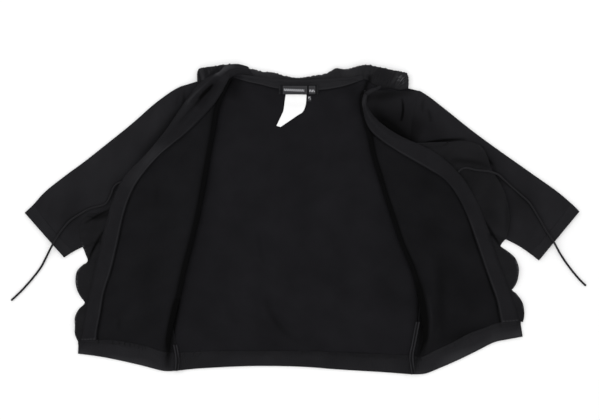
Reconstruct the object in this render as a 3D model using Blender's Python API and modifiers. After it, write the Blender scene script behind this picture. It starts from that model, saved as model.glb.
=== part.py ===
"""A short open cardigan in fine knit, laid on its back with both fronts turned open over the sleeves.

Every piece of cloth is a grid of sections, lofted and given its thickness by Solidify. The pieces are
laid in the order in which they lie on the table, each one resting on what is already there.
The neck points to +Y, so the wearer's right is at -X. The origin is under the middle of the back.
"""
import math

import bpy
import numpy as np

# Driving sizes, in millimetres
WALL = 1.5  # knitted cloth
BAND_WALL = 2.0  # ribbed bands at hem and cuffs
LABEL_WALL = 1.0
GAP = 0.3  # clearance at seams and between layers
ARM_FOLD = 3.2  # between a sleeve's two walls at its edges
ARM_CROWN = 1.6  # how far a sleeve's upper wall rises above that
RUFFLE_WIDTH = 60.0
TIE_WIDTH = 3.5
FRONT_ROWS, LOWER_LEG, FOLD_STEPS, UPPER_LEG = 22, 5, 5, 11
SEAM_INSET = 0.9  # of a sleeve's edge from the armhole
BACK_COLS, FRONT_BAND_COLS = 15, 16
FRONT_INSET = 0.9  # of a front's lowest rows from the back beside them
BAND_DROP = 0.8  # of a hem band's top edge from the panel above it
CUFF_CLEAR = 0.015  # between sleeve and cuff, of the first row's length
METRES = 0.001

# Fronts, a row for each section from hem to neck: where it leaves the side seam or armhole, where it
# folds back, the facing's inner edge, the front edge, how far it is folded (0 flat, 1 right over) and
# the height of the fold.
FRONT_COLUMNS = "seam_x seam_y fold_x fold_y tape_x tape_y edge_x edge_y turn height"
RIGHT_FRONT = [
    (-209, -243, -221, -245, -345, -218, -367, -223, 0.0, 0.0),
    (-212, -218, -218, -218, -344, -202, -364, -209, 0.3, 4.0),
    (-218, -184, -212, -184, -338, -173, -358, -177, 0.8, 7.0),
    (-223, -139, -202, -141, -332, -139, -350, -136, 1.0, 8.5),
    (-224, -99, -193, -99, -320, -102, -342, -99, 1.0, 9.0),
    (-228, -51, -181, -53, -309, -56, -332, -56, 1.0, 9.5),
    (-230, -8, -171, -10, -298, -8, -318, -7, 1.0, 10.0),
    (-221, 26, -164, 24, -286, 26, -309, 27, 1.0, 10.0),
    (-211, 60, -158, 58, -269, 56, -292, 58, 1.0, 10.0),
    (-202, 99, -151, 99, -233, 94, -255, 95, 1.0, 10.0),
    (-197, 136, -144, 136, -192, 133, -221, 134, 1.0, 9.5),
    (-196, 167, -139, 167, -167, 160, -192, 173, 1.0, 9.0),
    (-198, 189, -132, 189, -150, 184, -170, 202, 1.0, 8.5),
    (-201, 202, -124, 208, -136, 206, -149, 222, 1.0, 8.0),
    (-202, 210, -116, 223, -121, 224, -126, 234, 1.0, 7.5),
]
LEFT_FRONT = [
    (190, -248, 201, -248, 341, -190, 366, -190, 0.0, 0.0),
    (197, -212, 208, -214, 337, -170, 362, -173, 0.3, 5.0),
    (201, -178, 204, -173, 333, -151, 355, -153, 0.8, 8.0),
    (203, -139, 199, -136, 324, -126, 347, -128, 1.0, 9.0),
    (204, -99, 188, -99, 313, -95, 334, -95, 1.0, 9.5),
    (206, -51, 169, -53, 298, -51, 320, -53, 1.0, 10.0),
    (204, 0, 153, -5, 282, -8, 303, -8, 1.0, 10.5),
    (197, 34, 141, 31, 264, 27, 286, 31, 1.0, 10.5),
    (190, 65, 132, 60, 241, 54, 264, 63, 1.0, 10.5),
    (187, 94, 122, 94, 204, 76, 228, 94, 1.0, 10.0),
    (189, 122, 116, 124, 158, 104, 172, 122, 1.0, 10.0),
    (192, 150, 109, 151, 131, 133, 140, 150, 1.0, 9.0),
    (197, 173, 104, 173, 114, 164, 121, 172, 1.0, 8.0),
    (201, 190, 103, 192, 109, 190, 114, 191, 1.0, 7.0),
    (204, 202, 104, 207, 108, 207, 113, 206, 1.0, 7.0),
]

# Sleeves, a row for each ring from the cuff to the armhole: its upper and lower ends in plan.
SLEEVE_COLUMNS = "top_x top_y low_x low_y"
RIGHT_SLEEVE = [
    (-467, -5, -401, -80),
    (-453, 8, -387, -71),
    (-432, 31, -369, -62),
    (-398, 58, -343, -51),
    (-364, 83, -318, -42),
    (-330, 110, -292, -33),
    (-296, 138, -269, -25),
    (-265, 169, -248, -17),
    (-232, 195, -238, -12),
    (-202, 210, -230, -8),
]
LEFT_SLEEVE = [
    (474, -3, 406, -85),
    (461, 10, 392, -74),
    (435, 32, 371, -60),
    (401, 56, 343, -46),
    (367, 80, 318, -36),
    (333, 104, 291, -26),
    (299, 129, 265, -19),
    (266, 157, 241, -11),
    (234, 184, 221, -5),
    (204, 202, 204, 0),
]

# Hem bands, a row for each section across the band: its top and its bottom.
BAND_COLUMNS = "top_x top_y low_x low_y"
BACK_BAND = [
    (-209, -244, -209, -273),
    (-150, -241, -170, -269),
    (-75, -241, -85, -265),
    (0, -241, 0, -266),
    (68, -243, 68, -271),
    (136, -246, 136, -275),
    (190, -248, 189, -279),
]
RIGHT_BAND = [
    (-209, -244, -209, -273),
    (-233, -242, -233, -273),
    (-269, -231, -269, -264),
    (-314, -223, -313, -254),
    (-345, -222, -345, -248),
    (-376, -223, -377, -244),
]
LEFT_BAND = [
    (190, -248, 189, -279),
    (207, -251, 212, -278),
    (228, -241, 236, -269),
    (260, -226, 268, -255),
    (286, -212, 299, -240),
    (313, -202, 329, -225),
    (338, -193, 351, -220),
    (374, -190, 378, -215),
]

# Front ruffles, a row for each section from hem to neck: where it is sewn on, its free edge or roll,
# the height of its free edge above what it lies on, and the share of it that is rolled under.
RUFFLE_COLUMNS = "sewn_x sewn_y free_x free_y wave under"
RIGHT_RUFFLE = [
    (-358, -216, -377, -222, 1, 0.0),
    (-357, -206, -382, -211, 3, 0.0),
    (-355, -196, -382, -197, 4.5, 0.0),
    (-351, -182, -382, -182, 4.5, 0.0),
    (-347, -170, -376, -169, 2, 0.0),
    (-344, -158, -366, -158, 0, 0.0),
    (-342, -148, -372, -148, 2, 0.0),
    (-340, -136, -378, -136, 4.5, 0.0),
    (-337, -122, -381, -121, 5, 0.0),
    (-335, -107, -379, -105, 3.5, 0.0),
    (-332, -95, -371, -95, 1.5, 0.0),
    (-330, -83, -361, -87, 0, 0.0),
    (-327, -71, -365, -73, 2, 0.0),
    (-324, -56, -371, -58, 4.5, 0.0),
    (-320, -42, -374, -42, 4.5, 0.0),
    (-316, -29, -374, -29, 3, 0.0),
    (-312, -17, -369, -17, 2, 0.0),
    (-309, -8, -360, -10, 1.5, 0.04),
    (-306, 2, -336, -4, 1.5, 0.25),
    (-301, 14, -315, 14, 1, 0.5),
    (-294, 32, -304, 35, 0, 0.7),
    (-274, 62, -286, 66, 0, 0.75),
    (-237, 98, -249, 104, 0, 0.75),
    (-204, 137, -214, 144, 0, 0.65),
    (-178, 172, -188, 179, 0, 0.5),
    (-162, 193, -170, 199, 0, 0.3),
]
LEFT_RUFFLE = [
    (357, -189, 379, -190, 1, 0.0),
    (353, -177, 381, -177, 2, 0.0),
    (350, -164, 378, -158, 3.5, 0.0),
    (346, -152, 369, -144, 2, 0.0),
    (341, -138, 360, -135, 0, 0.0),
    (337, -124, 368, -123, 3, 0.0),
    (333, -112, 371, -109, 4.5, 0.0),
    (330, -103, 371, -96, 4.5, 0.0),
    (325, -90, 365, -81, 2, 0.0),
    (321, -78, 354, -71, 1, 0.0),
    (316, -62, 340, -61, 0, 0.0),
    (310, -43, 350, -46, 3, 0.0),
    (305, -28, 355, -24, 4.5, 0.0),
    (299, -12, 354, 0, 5, 0.0),
    (292, 5, 347, 29, 4.5, 0.0),
    (282, 24, 335, 53, 2, 0.0),
    (272, 41, 324, 71, 0, 0.0),
    (258, 57, 318, 90, 3, 0.0),
    (241, 73, 306, 109, 4.5, 0.0),
    (223, 85, 279, 117, 3.5, 0.0),
    (205, 95, 250, 115, 2, 0.04),
    (190, 104, 224, 114, 1.5, 0.3),
    (178, 111, 198, 117, 1, 0.5),
    (165, 119, 174, 126, 0, 0.6),
    (146, 134, 150, 142, 0, 0.35),
]

# Collar ruffle, a row for each section round the neck: the neck seam and the roll.
COLLAR_COLUMNS = "sewn_x sewn_y free_x free_y wave under"
COLLAR_RUFFLE = [
    (-148, 210, -178, 221, 2, 0.40),
    (-143, 214, -173, 230, 4, 0.40),
    (-136, 221, -168, 240, 5, 0.40),
    (-128, 226, -155, 244, 4, 0.45),
    (-117, 230, -133, 247, 2, 0.50),
    (-105, 230, -109, 247, 3, 0.55),
    (-88, 227, -90, 241, 1, 0.55),
    (-65, 224, -65, 235, 2, 0.60),
    (-41, 221, -41, 232, 0, 0.60),
    (-17, 219, -17, 225, 1, 0.65),
    (0, 219, 0, 224, 0, 0.65),
    (22, 220, 22, 227, 2, 0.65),
    (44, 221, 44, 231, 0, 0.60),
    (63, 223, 61, 240, 4, 0.55),
    (80, 224, 78, 238, 2, 0.55),
    (97, 224, 97, 243, 4, 0.50),
    (112, 224, 114, 246, 5, 0.50),
    (126, 221, 131, 243, 3, 0.50),
    (139, 216, 149, 239, 4, 0.50),
    (151, 211, 167, 235, 3, 0.45),
    (162, 207, 180, 231, 4, 0.45),
    (167, 200, 184, 217, 2, 0.45),
]

# Back neck facing and care label, a row for each section.
NECK_FACING = [
    (-109, 228, -105, 209),
    (-88, 225, -88, 216),
    (-65, 222, -65, 212),
    (-41, 219, -41, 206),
    (0, 218, 0, 203),
    (37, 219, 37, 203),
    (68, 221, 68, 208),
    (88, 222, 88, 214),
    (104, 223, 103, 219),
]
CARE_LABEL = [
    (-24, 192, 11, 191),
    (-27, 184, 10, 180),
    (-28, 170, 5, 167),
    (-31, 162, -5, 160),
    (-40, 143, -33, 141),
]

# Ties, from where each comes out of its front edge to its free end
RIGHT_TIE = [
    (-301, 47, 11.5), (-309, 45, 9.6), (-316, 38, 8.7), (-320, 27, 8.6), (-328, 12, 8.6),
    (-338, 7, 8.6), (-357, 2, 8.6), (-375, -8, 8.6), (-391, -19, 8.6), (-406, -37, 8.5),
    (-416, -53, 8.6), (-423, -65, 7.0), (-430, -78, 3.0), (-440, -97, 2.1), (-456, -118, 2.1),
    (-474, -138, 2.1), (-491, -154, 2.1),
]
LEFT_TIE = [
    (268, 64, 14.0), (275, 70, 12.6), (284, 71, 12.4), (296, 68, 12.2), (309, 66.5, 12.6),
    (321, 65, 13.2), (335, 60, 13.6), (346, 51, 10.5), (357, 41, 8.6), (374, 26, 8.5),
    (389, 12, 8.5), (403, -10, 8.5), (418, -36, 8.5), (429, -52, 8.3), (436, -64, 5.5),
    (443, -76, 3.0), (456, -95, 2.1), (473, -116, 2.1), (486, -129, 2.1),
]


def spread(rows, count):
    """Read count rows at equal steps from a smooth curve through the given ones."""
    rows = np.asarray(rows, float)
    last = len(rows) - 1
    at = np.linspace(0, last, count)
    low = np.minimum(at.astype(int), last - 1)
    t = (at - low).reshape((-1,) + (1,) * (rows.ndim - 1))
    before, here = rows[np.maximum(low - 1, 0)], rows[low]
    after, beyond = rows[low + 1], rows[np.minimum(low + 2, last)]
    bend = 2 * before - 5 * here + 4 * after - beyond
    twist = 3 * (here - after) + beyond - before
    return here + 0.5 * t * ((after - before) + t * (bend + t * twist))


def columns(table, names, count):
    """Spread a table over count rows and give back its columns by name."""
    return dict(zip(names.split(), spread(table, count).T))


def pair(columns_of, name):
    return np.stack([columns_of[name + "_x"], columns_of[name + "_y"]], axis=-1)


def refine(grid, step):
    """A grid's points with the cells cut up until none is longer than step."""
    rows = np.linalg.norm(np.diff(grid[..., :2], axis=0), axis=-1).max(initial=step)
    cols = np.linalg.norm(np.diff(grid[..., :2], axis=1), axis=-1).max(initial=step)
    for axis, cuts in ((0, math.ceil(rows / step)), (1, math.ceil(cols / step))):
        grid = np.moveaxis(grid, axis, 0)
        at = np.linspace(0, len(grid) - 1, (len(grid) - 1) * cuts + 1)
        low = np.minimum(at.astype(int), len(grid) - 2)
        t = (at - low)[:, None, None]
        grid = np.moveaxis(grid[low] * (1 - t) + grid[low + 1] * t, 0, axis)
    return grid


def slope(grid):
    """How much thicker than level cloth a sloping wall stands, at each point of a grid."""
    along, across = np.gradient(grid, axis=0), np.gradient(grid, axis=1)
    normal = np.cross(along, across)
    size = np.linalg.norm(normal, axis=-1)
    return np.clip(size / np.maximum(np.abs(normal[..., 2]), 1e-9), 1, 3)


class Pile:
    """How high the cloth laid so far reaches, on squares over the table."""

    SQUARE = 1.5
    SIDE = 1100

    def __init__(self):
        squares = round(self.SIDE / self.SQUARE)
        self.height = np.zeros((squares, squares))

    def squares(self, grid):
        at = ((grid[..., :2] + self.SIDE / 2) / self.SQUARE).astype(int)
        return at[..., 1], at[..., 0]

    def lay(self, grid, wall):
        """Add a grid's upper face to the pile."""
        fine = refine(grid, self.SQUARE * 0.7)
        np.maximum.at(self.height, self.squares(fine), fine[..., 2] + slope(fine) * wall / 2)

    def under(self):
        """The pile's height, taking each square's highest neighbour."""
        wide = np.where(self.height > 0, self.height, -GAP)
        for axis in (0, 1):
            wide = np.maximum(wide, np.maximum(np.roll(wide, 1, axis), np.roll(wide, -1, axis)))
        return wide

    def rest(self, plan, wall, floor=0.0, clear=0.0, soften=3):
        """Drop a plan of x and y onto the pile: at least floor above the table, clear above the pile."""
        under = self.under()
        clear = np.broadcast_to(clear, plan.shape[:2])
        height = np.full(plan.shape[:2], wall / 2) + np.maximum(floor, clear)
        grid = np.dstack([plan[..., 0], plan[..., 1], height])
        for turn in range(soften + 1):
            if turn:
                grid[..., 2] = soft(grid[..., 2], height)
            for part in (0.5, 0.5, 0.5, 0.7, 1.0):
                self.lift(grid, wall, under, clear, part)
        return grid

    def lift(self, grid, wall, under, clear, part):
        rows = max(1, math.ceil(np.linalg.norm(np.diff(grid[..., :2], axis=0), axis=-1).max() / 2))
        cols = max(1, math.ceil(np.linalg.norm(np.diff(grid[..., :2], axis=1), axis=-1).max() / 2))
        need = np.zeros(grid.shape[:2])
        thick = (wall / 2 * slope(grid) + clear)[:-1, :-1]
        for i in range(rows + 1):
            for j in range(cols + 1):
                s, t = i / rows, j / cols
                point = (
                    (grid[:-1, :-1] * (1 - s) + grid[1:, :-1] * s) * (1 - t)
                    + (grid[:-1, 1:] * (1 - s) + grid[1:, 1:] * s) * t
                )
                short = under[self.squares(point)] + GAP + thick - point[..., 2]
                short = np.clip(short, 0, None) * part
                for di, dj in ((0, 0), (0, 1), (1, 0), (1, 1)):
                    part_of = need[di : di + len(short), dj : dj + short.shape[1]]
                    np.maximum(part_of, short, out=part_of)
        grid[..., 2] += need


def soft(height, floor):
    """Even out a sheet's heights the way cloth bridges a step, no lower than floor."""
    for _ in range(2):
        ends = np.pad(height, 1, mode="edge")
        around = (ends[:-2, 1:-1] + ends[2:, 1:-1] + ends[1:-1, :-2] + ends[1:-1, 2:]) / 4
        height = np.maximum(0.4 * height + 0.6 * around, floor)
    return height


# Objects
for old in list(bpy.data.objects):
    bpy.data.objects.remove(old)

garment = bpy.data.collections.new("cardigan")
bpy.context.scene.collection.children.link(garment)


def finish(name, colour, roughness):
    material = bpy.data.materials.new(name)
    material.use_nodes = True
    shader = material.node_tree.nodes["Principled BSDF"]
    shader.inputs["Base Color"].default_value = (*colour, 1)
    shader.inputs["Roughness"].default_value = roughness
    shader.inputs["Metallic"].default_value = 0
    return material


def cloth(name, grid, wall, material, ring=False):
    """Loft a grid of points in millimetres and give it its thickness; a ring closes on itself."""
    rows, cols = grid.shape[:2]
    around = cols if ring else cols - 1
    points = grid.reshape(-1, 3) * METRES
    faces = [
        (i * cols + j, i * cols + (j + 1) % cols, (i + 1) * cols + (j + 1) % cols, (i + 1) * cols + j)
        for i in range(rows - 1)
        for j in range(around)
    ]
    mesh = bpy.data.meshes.new(name)
    mesh.from_pydata(points.tolist(), [], faces)
    mesh.shade_smooth()
    mesh.materials.append(material)
    piece = bpy.data.objects.new(name, mesh)
    garment.objects.link(piece)
    thick = piece.modifiers.new("wall", "SOLIDIFY")
    thick.thickness = wall * METRES
    thick.offset = 0
    return piece


def between(start, end, count):
    """A plan of count columns from each start to its end."""
    t = np.linspace(0, 1, count)[None, :, None]
    return start[:, None] * (1 - t) + end[:, None] * t


def inset(start, end, by):
    """Move start towards end by a length in millimetres."""
    away = end - start
    return start + away * (by / np.linalg.norm(away, axis=-1, keepdims=True))


black_knit = finish("black_knit", (0.012, 0.012, 0.014), 0.9)
black_rib = finish("black_rib", (0.018, 0.018, 0.02), 0.9)
black_ruffle = finish("black_ruffle", (0.012, 0.012, 0.014), 0.85)
black_woven = finish("black_woven", (0.006, 0.006, 0.007), 0.6)
grey_woven = finish("grey_woven", (0.03, 0.03, 0.032), 0.6)
white_satin = finish("white_satin", (0.75, 0.75, 0.74), 0.5)
black_cord = finish("black_cord", (0.016, 0.016, 0.018), 0.85)

pile = Pile()


def sections(grids):
    return np.concatenate(grids, axis=1)


def arc(start, middle, end, turn, steps):
    """Steps of a fold from start to end: an upright half turn about middle, or level where turn is 0."""
    bulge = (start[:, :2] + end[:, :2]) / 2 - middle
    points = []
    for step in range(1, steps + 1):
        share = step / (steps + 1)
        angle = math.pi * (share - 0.5)
        level = start * (1 - share) + end * share
        upright = (start + end) / 2 + (end - start) * math.sin(angle) / 2
        upright = upright - np.pad(bulge, ((0, 0), (0, 1))) * math.cos(angle)
        points.append(level * (1 - turn) + upright * turn)
    return np.stack(points, axis=1)


# Ruffles: an upper leg from the seam, a roll, and a lower leg that is turned under or, unrolled, the rim
RUFFLE_UPPER, RUFFLE_ROLL, RUFFLE_LOWER = 5, 3, 3
ROLL_WIDTH = 1.6


def ruffle_plan(table, count):
    column = columns(table, RUFFLE_COLUMNS, count)
    sewn, free = pair(column, "sewn"), pair(column, "free")
    reach = np.linalg.norm(free - sewn, axis=-1)
    out = (free - sewn) / reach[:, None]
    rolled = (column["under"] > 0.02).astype(float)[:, None]
    ruffle = {"wave": np.clip(column["wave"], 0, None), "rolled": rolled, "free": free}
    upper_end = rolled * (free - out * ROLL_WIDTH) + (1 - rolled) * (sewn + (free - sewn) * 0.5)
    lower_start = rolled * (free - out * ROLL_WIDTH) + (1 - rolled) * (sewn + (free - sewn) * 0.7)
    turned = out * (column["under"] * RUFFLE_WIDTH)[:, None]
    lower_end = rolled * (free - turned) + (1 - rolled) * free
    ruffle["upper"] = between(sewn, upper_end, RUFFLE_UPPER)
    ruffle["lower"] = between(lower_start, lower_end, RUFFLE_LOWER)
    return ruffle


def lay_ruffle_lower(ruffle):
    ruffle["below"] = pile.under()
    loose = (1 - ruffle["rolled"]) * ruffle["wave"][:, None]
    clear = loose * np.linspace(0.7, 1, RUFFLE_LOWER)[None]
    ruffle["lower"] = pile.rest(ruffle["lower"], WALL, clear=clear, soften=1)
    pile.lay(ruffle["lower"], WALL)


def lay_ruffle_upper(ruffle):
    rolled, wave = ruffle["rolled"], ruffle["wave"][:, None]
    along = np.linspace(0, 1, RUFFLE_UPPER)[None]
    over_roll = 2 * ROLL_WIDTH - WALL - GAP + wave
    clear = rolled * over_roll * along**2 + (1 - rolled) * wave * 0.5 * along
    ruffle["upper"] = pile.rest(ruffle["upper"], WALL, clear=clear, soften=1)
    pile.lay(ruffle["upper"], WALL)
    start, end = ruffle["upper"][:, -1], ruffle["lower"][:, 0]
    roll = arc(start, ruffle["free"], end, rolled, RUFFLE_ROLL)
    whole = sections([ruffle["upper"], roll, ruffle["lower"]])
    lifted = whole.copy()
    pile.lift(lifted, WALL, ruffle["below"], np.zeros(whole.shape[:2]), 1.0)
    whole[:, RUFFLE_UPPER:-RUFFLE_LOWER] = lifted[:, RUFFLE_UPPER:-RUFFLE_LOWER]
    return whole


# Collar ruffle, first the part of it that is turned under the neck
collar = ruffle_plan(COLLAR_RUFFLE, 38)
lay_ruffle_lower(collar)

# Back: a patch between its side seams and armholes, its hem and its shoulders and neck
BACK_TOP = [
    (-202, 210), (-160, 219), (-117, 229), (-88, 226), (-41, 220), (0, 218),
    (44, 220), (80, 223), (104, 223), (155, 213), (204, 202),
]


def side_seam(table, count):
    return pair(columns(table, FRONT_COLUMNS, count), "seam")


def patch(left, right, bottom, top):
    """A grid that fills four edges, from the bottom left."""
    v = np.linspace(0, 1, len(left))[:, None, None]
    u = np.linspace(0, 1, len(top))[None, :, None]
    across = left[:, None] * (1 - u) + right[:, None] * u
    along = bottom[None] * (1 - v) + top[None] * v
    corners = (bottom[0] * (1 - u) + bottom[-1] * u) * (1 - v) + (top[0] * (1 - u) + top[-1] * u) * v
    return across + along - corners


back_right = side_seam(RIGHT_FRONT, FRONT_ROWS)
back_left = side_seam(LEFT_FRONT, FRONT_ROWS)
back_hem = pair(columns(BACK_BAND, BAND_COLUMNS, BACK_COLS), "top")
back_plan = patch(back_right, back_left, back_hem, spread(BACK_TOP, BACK_COLS))
back_grid = pile.rest(back_plan, WALL)
pile.lay(back_grid, WALL)
cloth("back_panel", back_grid, WALL, black_knit)


# Fronts: a lower leg from side seam and armhole over the back, a fold, and an upper leg turned outwards
FOLD_REACH = 3.5
FLAT_FOLD = 7.0
FOLD_FADE = 16.0


def hem_shift(plan, band):
    """Bend a front's lowest rows to the curve of its hem band's top edge."""
    top = pair(columns(band, BAND_COLUMNS, FRONT_BAND_COLS), "top")
    top = top[np.argsort(top[:, 0])]
    shift = np.interp(plan[0, :, 0], top[:, 0], top[:, 1]) - plan[0, :, 1]
    fade = np.clip(1 - np.arange(len(plan)) / (len(plan) * 0.3), 0, 1) ** 2
    plan[..., 1] += fade[:, None] * shift[None]


def front_plan(table, band):
    column = columns(table, FRONT_COLUMNS, FRONT_ROWS)
    seam, fold, edge = (pair(column, name) for name in ("seam", "fold", "edge"))
    turn = np.clip(column["turn"], 0, 1)[:, None]
    out = (edge - fold) / np.linalg.norm(edge - fold, axis=-1, keepdims=True)
    flat = (turn[:, 0] < 0.5)[:, None]
    start = np.where(flat, inset(seam, edge, FRONT_INSET), seam)
    lower_end = fold + out * FOLD_REACH * turn
    upper_start = fold + out * (FOLD_REACH * turn + FLAT_FOLD * (1 - turn))
    reach = np.linalg.norm(edge - upper_start, axis=-1)
    share = np.linspace(0, 1, UPPER_LEG) ** 1.3
    upper = upper_start[:, None] * (1 - share[None, :, None]) + edge[:, None] * share[None, :, None]
    lower = between(start, lower_end, LOWER_LEG)
    plan = sections([lower, fold[:, None], upper, pair(column, "tape")[:, None]])
    hem_shift(plan, band)
    return {
        "turn": turn, "flat": flat, "height": np.clip(column["height"], 0, None)[:, None],
        "lower": plan[:, :LOWER_LEG], "fold": plan[:, LOWER_LEG], "upper": plan[:, LOWER_LEG + 1 : -1],
        "tape": plan[:, -1], "away": reach[:, None] * share[None],
    }


def lay_front_lower(front):
    """The leg over the back; its armhole edge is as high as the sleeve's upper wall beside it."""
    rows = np.linspace(0, 1, FRONT_ROWS)[:, None]
    armhole = np.clip((rows - 0.36) / 0.1, 0, 1)
    near = np.clip(1 - np.arange(LOWER_LEG)[None] / 2, 0, 1)
    grid = pile.rest(front["lower"], WALL, floor=armhole * near * ARM_FOLD, soften=1)
    grid[..., 2] = np.where(front["flat"], WALL / 2, grid[..., 2])
    pile.lay(grid, WALL)
    front["lower"] = grid


def lay_front_upper(front):
    base = front["lower"][:, -1:, 2] - WALL / 2
    rise = front["height"] * np.exp(-((front["away"] / FOLD_FADE) ** 2))
    floor = (base + front["height"]) * rise / np.maximum(front["height"], 1e-6)
    grid = pile.rest(front["upper"], WALL, floor=floor, soften=3)
    pile.lay(grid, WALL)
    fold = arc(front["lower"][:, -1], front["fold"], grid[:, 0], front["turn"], FOLD_STEPS)
    return grid, sections([front["lower"], fold, grid])


fronts = {"right": front_plan(RIGHT_FRONT, RIGHT_BAND), "left": front_plan(LEFT_FRONT, LEFT_BAND)}
for front in fronts.values():
    lay_front_lower(front)

# Sleeves and cuffs: flattened tubes, a round fold at each edge, open at cuff and armhole
EDGE_STEPS, WALL_STEPS = 5, 7


def sleeve_ring(top, low, fold, crown, wall, armhole=None):
    """One ring: round the top edge, along the upper wall, round the low edge, back along the table."""
    along = (low - top) / np.linalg.norm(low - top)
    radius = fold / 2
    length = np.linalg.norm(low - top)
    ring = []
    for step in range(EDGE_STEPS):
        angle = math.pi * step / (EDGE_STEPS - 1)
        ring.append((radius - radius * math.sin(angle), radius - radius * math.cos(angle)))
    for step in range(1, WALL_STEPS):
        share = step / WALL_STEPS
        ring.append((radius + (length - fold) * share, fold + crown * math.sin(math.pi * share)))
    for step in range(EDGE_STEPS):
        angle = math.pi * step / (EDGE_STEPS - 1)
        ring.append((length - radius + radius * math.sin(angle), radius + radius * math.cos(angle)))
    for step in range(1, WALL_STEPS):
        ring.append((length - radius - (length - fold) * step / WALL_STEPS, 0.0))
    points = []
    for across, height in ring:
        place = top + along * across
        if armhole is not None:
            share = across / length
            place = place + armhole(share) - (top + (low - top) * share)
        points.append((*place, wall / 2 + height))
    return points


def sleeve_grid(table, armhole, start, end, rings, wall, cuff):
    column = columns(table, SLEEVE_COLUMNS, 100)
    tops, lows = pair(column, "top"), pair(column, "low")
    grid = []
    for at in np.linspace(start, end, rings):
        row = at / (len(table) - 1) * 99
        low_row = min(int(row), 98)
        top = tops[low_row] + (tops[low_row + 1] - tops[low_row]) * (row - low_row)
        low = lows[low_row] + (lows[low_row + 1] - lows[low_row]) * (row - low_row)
        blend = np.clip((at - 5) / (len(table) - 6), 0, 1) ** 1.5

        def shaped(share, top=top, low=low, blend=blend):
            straight = top + (low - top) * share
            return straight * (1 - blend) + armhole(share) * blend

        crown = ARM_CROWN * (1 - blend) * (0.4 if cuff else 1)
        grid.append(sleeve_ring(top, low, ARM_FOLD, crown, wall, shaped))
    return np.array(grid)


def armhole_curve(table):
    """The armhole from the shoulder, where share is 0, down to the underarm, just outside the body."""
    seam = side_seam(table, FRONT_ROWS)
    outward = 1 if seam[0, 0] > 0 else -1
    underarm = (FRONT_ROWS - 1) * 6 / 14

    def at(share):
        row = (FRONT_ROWS - 1) * (1 - share) + underarm * share
        low_row = min(int(row), FRONT_ROWS - 2)
        place = seam[low_row] + (seam[low_row + 1] - seam[low_row]) * (row - low_row)
        return place + (outward * SEAM_INSET, 0)

    return at


for side, table, front_table in (("right", RIGHT_SLEEVE, RIGHT_FRONT), ("left", LEFT_SLEEVE, LEFT_FRONT)):
    armhole = armhole_curve(front_table)
    last = len(table) - 1
    sleeve = sleeve_grid(table, armhole, 1 + CUFF_CLEAR, last, 11, WALL, False)
    cuff = sleeve_grid(table, armhole, 0, 1 - CUFF_CLEAR, 3, BAND_WALL, True)
    pile.lay(sleeve[:, EDGE_STEPS - 1 : EDGE_STEPS + WALL_STEPS], WALL)
    pile.lay(cuff[:, EDGE_STEPS - 1 : EDGE_STEPS + WALL_STEPS], BAND_WALL)
    cloth(f"{side}_sleeve", sleeve, WALL, black_knit, ring=True)
    cloth(f"{side}_cuff_band", cuff, BAND_WALL, black_rib, ring=True)

# Back neck facing
neck = columns(NECK_FACING, BAND_COLUMNS, 17)
neck_grid = pile.rest(between(pair(neck, "top"), pair(neck, "low"), 3), WALL)
pile.lay(neck_grid, WALL)
cloth("back_neck_facing", neck_grid, WALL, black_knit)

# Front ruffles, under the turned fronts
for side, table in (("right", RIGHT_RUFFLE), ("left", LEFT_RUFFLE)):
    ruffle = ruffle_plan(table, len(table) * 3 // 2)
    lay_ruffle_lower(ruffle)
    cloth(f"{side}_front_ruffle", lay_ruffle_upper(ruffle), WALL, black_ruffle)

cloth("collar_ruffle", lay_ruffle_upper(collar), WALL, black_ruffle)

# The turned parts of the fronts, with their facings
for side, front in fronts.items():
    upper, whole = lay_front_upper(front)
    cloth(f"{side}_front_panel", whole, WALL, black_knit)
    edge = front["upper"][:, -1]
    facing = pile.rest(between(front["tape"], inset(edge, front["tape"], 1.0), 3), WALL, soften=1)
    pile.lay(facing, WALL)
    cloth(f"{side}_front_facing", facing, WALL, black_knit)

# Hem bands
for name, table, count in (
    ("back", BACK_BAND, BACK_COLS),
    ("right_front", RIGHT_BAND, FRONT_BAND_COLS),
    ("left_front", LEFT_BAND, FRONT_BAND_COLS),
):
    column = columns(table, BAND_COLUMNS, count)
    plan = between(pair(column, "top") - (0, BAND_DROP), pair(column, "low"), 3)
    if name != "back":
        plan[0] += (-0.5 if plan[0, 0, 0] < 0 else 0.5, 0)
    grid = np.dstack([plan, np.full(plan.shape[:2], BAND_WALL / 2)])
    pile.lay(grid, BAND_WALL)
    cloth(f"{name}_hem_band", grid, BAND_WALL, black_rib)

# Side seams: the two raised edges of each seam's allowance, as far as they show
SEAM_WIDTH = 8.0
RIGHT_SEAM = [(-209, -272), (-208, -252), (-212, -229)]
LEFT_SEAM = [(191, -277), (189, -252), (192, -232), (197, -214), (200, -198)]
SEAM_RIDGES = (0.0, 1.0, 0.2, 1.0, 0.0)

for side, route in (("right", RIGHT_SEAM), ("left", LEFT_SEAM)):
    middle = spread(route, 7)
    half = np.array([SEAM_WIDTH / 2, 0])
    plan = between(middle - half, middle + half, len(SEAM_RIDGES))
    strip = pile.rest(plan, WALL, clear=np.array(SEAM_RIDGES)[None], soften=0)
    pile.lay(strip, WALL)
    cloth(f"{side}_side_seam", strip, WALL, black_rib)


# Labels at the back neck, bare: a black strip, two woven labels on it, a tab and a white label
def rectangle(left, right, low, high, rows, cols):
    x, y = np.meshgrid(np.linspace(left, right, cols), np.linspace(high, low, rows))
    return np.stack([x, y], axis=-1)


def label(name, plan, material, soften=0):
    grid = pile.rest(plan, LABEL_WALL, soften=soften)
    pile.lay(grid, LABEL_WALL)
    cloth(name, grid, LABEL_WALL, material)


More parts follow.
